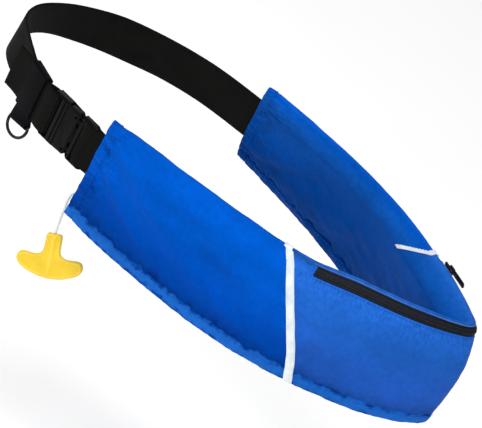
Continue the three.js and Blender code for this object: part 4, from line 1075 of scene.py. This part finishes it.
def on(axes, x, y, z):
    """A place in a frame's own axes, turned into the part's axes."""
    x, y, z = np.broadcast_arrays(np.asarray(x, float), y, z)
    return axes["o"] + x[..., None] * axes["x"] + y[..., None] * axes["y"] + z[..., None] * axes["z"]


FEMALE_END = BUCKLE_FROM_MOUTH + FEMALE_LENGTH
KEEPER_NEAR = FEMALE_END + KEEPER_FROM_FEMALE
KEEPER_FAR = KEEPER_NEAR + KEEPER_WIDTH
KEEPER_MIDDLE = KEEPER_NEAR + KEEPER_WIDTH / 2
buckle_frame = chord_frame(0, FEMALE_END, BUCKLE_FROM_MOUTH)
keeper_frame = chord_frame(KEEPER_NEAR - 2, KEEPER_FAR + 2, KEEPER_MIDDLE)
mouth_frame = chord_frame(0, 2, 0)


# ---- Belt webbing

def smooth_path(points, step=2.0):
    """A finer run through the points that keeps their straight stretches."""
    points = np.asarray(points, float)
    d = np.linalg.norm(np.diff(points[:, :3], axis=0), axis=1)
    slopes = np.diff(points, axis=0) / d[:, None]
    tangent = np.zeros_like(points)
    tangent[0], tangent[-1] = slopes[0], slopes[-1]
    weight = d[:-1, None] / (d[:-1] + d[1:])[:, None]
    tangent[1:-1] = slopes[:-1] * (1 - weight) + slopes[1:] * weight
    out = []
    for i in range(len(d)):
        parts = max(1, int(round(d[i] / step)))
        out += [hermite_mix(k / parts, d[i], points[i], points[i + 1], tangent[i], tangent[i + 1])
                for k in range(parts)]
    return np.array(out + [points[-1]])


def webbing_run():
    """x, y, z and lean in degrees of the webbing's middle, from its fold at the plug to its free tail."""
    layer = WEBBING_THICK + TOUCH
    male_turn = MALE_BAR / 2 + TOUCH + WEBBING_THICK / 2
    male_middle = MALE_BASE + MALE_SLOT + MALE_BAR / 2
    back_end = BUCKLE_FROM_MOUTH - 3
    female_turn = BAR_THICK / 2 + TOUCH + WEBBING_THICK / 2
    bar_start = BAR_LENGTH - FEMALE_LENGTH
    female_middle = bar_start - BAR_THICK / 2
    bar_far = bar_start - BAR_LENGTH - 2

    def buckle(x, z):
        return np.append(on(buckle_frame, x, 0, z), 0)

    def keeper(x, z, drop=0.0):
        p = np.append(on(keeper_frame, x, 0, z), 0)
        p[2] = -drop
        return p

    def turn(middle, radius, start, end):
        return [buckle(middle + radius * math.cos(a), radius * math.sin(a))
                for a in np.linspace(start, end, 9)]

    def level(distance):
        return np.array([*loop_at(distance), 0, 0])

    def bent(distance):
        out, drop, lean = hermite(np.clip(TOTAL - RIGHT_ARM - distance, BEND[0, 0], BEND[-1, 0]), BEND)
        return np.array([*(loop_at(distance) + outward_at(distance, 14) * out), -drop, lean])

    half = KEEPER_WIDTH / 2
    far = TOTAL - RIGHT_ARM - LEFT_ARM - KEEPER_FAR - 2
    return smooth_path([
        buckle(back_end, -layer), buckle((back_end + male_middle) / 2, -(layer + male_turn) / 2),
        *turn(male_middle, male_turn, math.pi * 1.5, math.pi * 0.5),
        buckle(back_end - 4, WEBBING_THICK / 2),
        *(level(d) for d in np.arange(RIGHT_MOUTH, LEFT_MOUTH, 8.0)),
        *(bent(d) for d in np.linspace(LEFT_MOUTH, LEFT_MOUTH + far, 60)),
        level(RIGHT_MOUTH - KEEPER_NEAR + 2), buckle(bar_far, -female_turn),
        *turn(female_middle, female_turn, -math.pi / 2, math.pi / 2),
        buckle(bar_far, female_turn), keeper(half + 2, layer), keeper(-half - 1, layer),
        keeper(-half - TAIL / 2, layer + 0.8, TAIL_DROOP * 0.3), keeper(-half - TAIL, layer + 3, TAIL_DROOP),
    ])


def webbing():
    path = webbing_run()
    tangent = np.gradient(path[:, :2], axis=0)
    tangent /= np.maximum(1e-9, np.linalg.norm(tangent, axis=1, keepdims=True))
    normal = np.stack([tangent[:, 1], -tangent[:, 0]], -1)
    # height and thickness round the ribbon, with rounded edges
    half, thick = WEBBING_WIDTH / 2, WEBBING_THICK / 2
    edge = [(half - 0.5, thick), (half - 0.1, thick * 0.6), (half, 0), (half - 0.1, -thick * 0.6),
            (half - 0.5, -thick)]
    inner = np.linspace(half - 3, -half + 3, 12)
    section = [*edge, *((h, -thick) for h in inner), *((-h, -w) for h, w in edge),
               *((h, thick) for h in inner[::-1])]
    lengths = running([math.dist(a, b) for a, b in zip(section, section[1:])])
    verts, uvs = [], []
    for point, way, run in zip(path, normal, path_run(path[:, :3])):
        wave = 0.12 * math.sin(run / 17.0) + 0.08 * math.sin(run / 6.1)
        lean = math.radians(point[3])
        for (h, w), length in zip(section, lengths):
            p = point[:2] + way * (w + wave * 0.2 + h * math.sin(lean))
            verts.append((*p, point[2] + h * math.cos(lean)))
            uvs.append((run, length))
    new_object("belt_strap", verts, ring_faces(len(path), len(section)), uvs, black_webbing,
               node="belt_webbing")


webbing()


# ---- Hard pieces kept from the solids, with their edges softened

def evaluated_mesh(obj):
    depsgraph = bpy.context.evaluated_depsgraph_get()
    return bpy.data.meshes.new_from_object(obj.evaluated_get(depsgraph))


def soften(node, name, width, segments, material, body=BODY):
    bm = bmesh.new()
    bm.from_mesh(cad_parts[node].data)
    bmesh.ops.remove_doubles(bm, verts=bm.verts, dist=1e-6)
    bmesh.ops.dissolve_limit(bm, angle_limit=math.radians(2), verts=bm.verts, edges=bm.edges)
    mesh = bpy.data.meshes.new(name)
    bm.to_mesh(mesh)
    bm.free()
    obj = add_object(name, mesh)
    bevel = obj.modifiers.new("bevel", "BEVEL")
    bevel.width = width * MM
    bevel.segments = segments
    bevel.limit_method = "ANGLE"
    bevel.angle_limit = math.radians(28)
    obj.data = evaluated_mesh(obj)
    obj.modifiers.clear()
    dress(obj, material, body, node)
    sharpen(obj, 50)


soften("buckle_female", "buckle_socket", 0.7, 3, black_plastic)
soften("buckle_male", "buckle_plug", 0.6, 3, black_plastic)
soften("strap_keeper", "keeper_loop", 0.35, 2, keeper_cloth)
soften("zip_slider", "slider_body", 0.3, 2, black_metal)
soften("zip_pull", "slider_tab", 0.3, 2, black_metal, body="pull_tab")
soften("cord_anchor", "anchor_pin", 0.3, 2, black_plastic)


# ---- D-ring

def d_ring():
    """A straight bar and a bowed wire, rounded where they meet and tilted in the keeper's tab."""
    ring_down = WEBBING_WIDTH / 2 + KEEPER_DROP
    middle = (TOUCH + WEBBING_THICK) / 2
    radius = (RING_WIDTH - RING_WIRE) / 2
    drop = RING_HEIGHT - RING_WIRE
    start = -RING_WIRE * 0.7
    end = radius - RING_WIRE * 0.4
    path = np.array([(end, 0), (radius * 0.4, 0), (-radius * 0.4, 0), (-end, 0)] + [
        ((radius - RING_BULGE * math.sin(a)) * math.cos(a), start + (drop + start) * math.sin(a))
        for a in np.linspace(math.pi, 2 * math.pi, 40)])
    fine = []
    for p, q in zip(path, np.roll(path, -1, 0)):
        parts = max(1, int(math.dist(p, q) / 1.2))
        fine += [p + (q - p) * k / parts for k in range(parts)]
    fine = np.array(fine)
    for _ in range(3):
        fine = (np.roll(fine, 1, 0) + 2 * fine + np.roll(fine, -1, 0)) / 4
    tilt, swing = math.radians(RING_TILT), math.radians(RING_SWING)
    across, up, out = fine[:, 0], fine[:, 1] * math.cos(swing), fine[:, 1] * math.sin(swing)
    points = on(keeper_frame, across * math.cos(tilt) - up * math.sin(tilt),
                across * math.sin(tilt) + up * math.cos(tilt) - ring_down, out + middle)
    tube("ring_wire", points, RING_WIRE / 2, 14, black_metal, "ring", True, "d_ring")


d_ring()


# ---- Pull cord and handle

# along the belt past the mouth, fall, sway
CORD = [
    (CORD_INSIDE, 0, 0), (8, 0, 0), (4, 0, 0), (0.6, 0.2, 0), (-2.2, 1.4, 0), (-4, 4, 0), (-4.6, 8, 0),
    (-4.4, 13, 0), (-3.8, 19, 0), (-3.2, 25, 0.1), (-2.8, 31, 0.3), (-2.5, 36.5, 0.6), (-2.3, 41.5, 1),
]
yaw = math.radians(HANDLE_YAW)
lean_way = np.array([math.cos(yaw), math.sin(yaw), 0])
cord_path = open_curve(np.array([
    on(mouth_frame, along, -CORD_HEIGHT - fall, CORD_OUT) + lean_way * sway for along, fall, sway in CORD
]))


def handle_axes():
    lean, tilt = math.radians(HANDLE_LEAN), math.radians(HANDLE_TILT)
    facing = np.array([lean_way[1], -lean_way[0], 0])
    steep = np.array([0, 0, math.cos(tilt)]) - facing * math.sin(tilt)
    up = steep * math.cos(lean) - lean_way * math.sin(lean)
    side = steep * math.sin(lean) + lean_way * math.cos(lean)
    aim = cord_path[-1] - cord_path[-2]
    aim /= np.linalg.norm(aim)
    return {"o": cord_path[-1] + aim * 2 * TOUCH, "x": side, "y": up, "z": np.cross(side, up)}


handle_frame = handle_axes()


def bezier_chain(start, curves, per=10):
    """Points along curves of a control point and an end, or straight to the end without a control."""
    out = [np.array(start, float)]
    for control, end in curves:
        a, b = out[-1], np.array(end, float)
        if control is None:
            out.append(b)
        else:
            out += [bezier(a, np.array(control, float), b, w) for w in np.linspace(0, 1, per + 1)[1:]]
    return np.array(out)


def handle_outline():
    """The T-shaped outline and its outward normals."""
    w, h, stem = HANDLE_WIDTH / 2, HANDLE_HEIGHT, HANDLE_STEM / 2
    half = bezier_chain((0, -h), [
        ((w * 0.4, -h * 0.99), (w * 0.72, -h * 0.88)), ((w, -h * 0.79), (w, -h * 0.64)),
        ((w * 0.99, -h * 0.5), (w * 0.78, -h * 0.5)), (None, (w * 0.5, -h * 0.52)),
        ((stem * 1.05, -h * 0.5), (stem, -h * 0.34)), (None, (stem * 0.97, -h * 0.08)),
        ((stem * 0.9, 0), (stem * 0.6, 0)),
    ])
    shape = np.concatenate([half, (half * [-1, 1])[::-1][:-1]])
    way = np.roll(shape, -1, 0) - np.roll(shape, 1, 0)
    normal = np.stack([way[:, 1], -way[:, 0]], -1)
    return shape, normal / np.linalg.norm(normal, axis=1, keepdims=True)


RIM, LIP_INSET, LIP_RADIUS, LIP_SINK = 1.5, 1.7, 0.85, 0.35


def handle_grip(shape, normal):
    curve = bpy.data.curves.new("handle_outline", "CURVE")
    curve.dimensions = "2D"
    curve.fill_mode = "BOTH"
    inset = shape - normal * RIM
    spline = curve.splines.new("POLY")
    spline.points.add(len(inset) - 1)
    for point, (x, y) in zip(spline.points, inset):
        point.co = (x * MM, y * MM, 0, 1)
    spline.use_cyclic_u = True
    curve.extrude = (HANDLE_THICK / 2 - RIM) * MM
    curve.bevel_depth = RIM * MM
    curve.bevel_resolution = 5
    temp = add_object("handle_temp", curve)
    mesh = evaluated_mesh(temp)
    bpy.data.objects.remove(temp)
    co = np.zeros(len(mesh.vertices) * 3)
    mesh.vertices.foreach_get("co", co)
    co = co.reshape(-1, 3) / MM
    # a little thicker in the middle of the bar
    co[:, 2] *= 1 + 0.08 * np.exp(-((co[:, 1] + HANDLE_HEIGHT * 0.72) / 9) ** 2)
    placed = on(handle_frame, co[:, 0], co[:, 1], co[:, 2]) * MM
    mesh.vertices.foreach_set("co", placed.ravel())
    obj = dress(add_object("handle_grip", mesh), yellow_plastic, node="pull_handle")
    sharpen(obj, 60)
    return obj


def handle_rib(sides=16):
    """A raised rib down the middle of both faces, in the lighter yellow of a painted highlight."""
    low, high = -HANDLE_HEIGHT * 0.95, -HANDLE_HEIGHT * 0.04
    ys = np.linspace(low, high, 40)
    verts = []
    for y in ys:
        full = min(1.0, min(y - low, high - y) / 2.2 + 0.15)
        for k in range(sides):
            a = 2 * math.pi * k / sides
            cx, cz = math.cos(a), math.sin(a)
            x = HANDLE_RIB / 2 * math.copysign(abs(cx) ** 0.7, cx) * (0.75 + 0.25 * full)
            z = (HANDLE_THICK / 2 + RIB_HEIGHT * full) * math.copysign(abs(cz) ** 0.7, cz)
            verts.append(on(handle_frame, x, y, z))
    return new_object("handle_rib", verts, ring_faces(len(ys), sides), None, painted_highlight_yellow)


def handle():
    shape, normal = handle_outline()
    pieces = [handle_grip(shape, normal), handle_rib()]
    # raised lips round both faces, in the lighter yellow of a painted highlight
    lip = shape - normal * LIP_INSET
    for side, name in ((1, "handle_front_lip"), (-1, "handle_back_lip")):
        path = on(handle_frame, lip[:, 0], lip[:, 1], side * (HANDLE_THICK / 2 - LIP_SINK))
        pieces.append(tube(name, path, LIP_RADIUS, 8, painted_highlight_yellow, closed=True))
    return pieces


handle_pieces = handle()
cord = tube("pull_line", cord_path, CORD_DIAMETER / 2, 12, white_cord, node="pull_cord")


# ---- Floor

FLOOR_SIZE, FLOOR_Z, FLOOR_GLOW = 12, -0.30, 0.35


def floor():
    m = Nodes("pale_floor", (0.94, 0.94, 0.94), 0.9, specular=0.1)
    m.shader.inputs["Emission Color"].default_value = (1, 1, 1, 1)
    m.shader.inputs["Emission Strength"].default_value = FLOOR_GLOW
    m.color(m.ramp(m.noise(m.place(), 3, 2), [(0.3, (0.93, 0.93, 0.93)), (0.7, (0.95, 0.95, 0.95))]))
    bpy.ops.mesh.primitive_plane_add(size=FLOOR_SIZE, location=(0, 0, FLOOR_Z))
    plane = bpy.context.object
    plane.name = "floor"
    plane.data.materials.append(m.material)


floor()
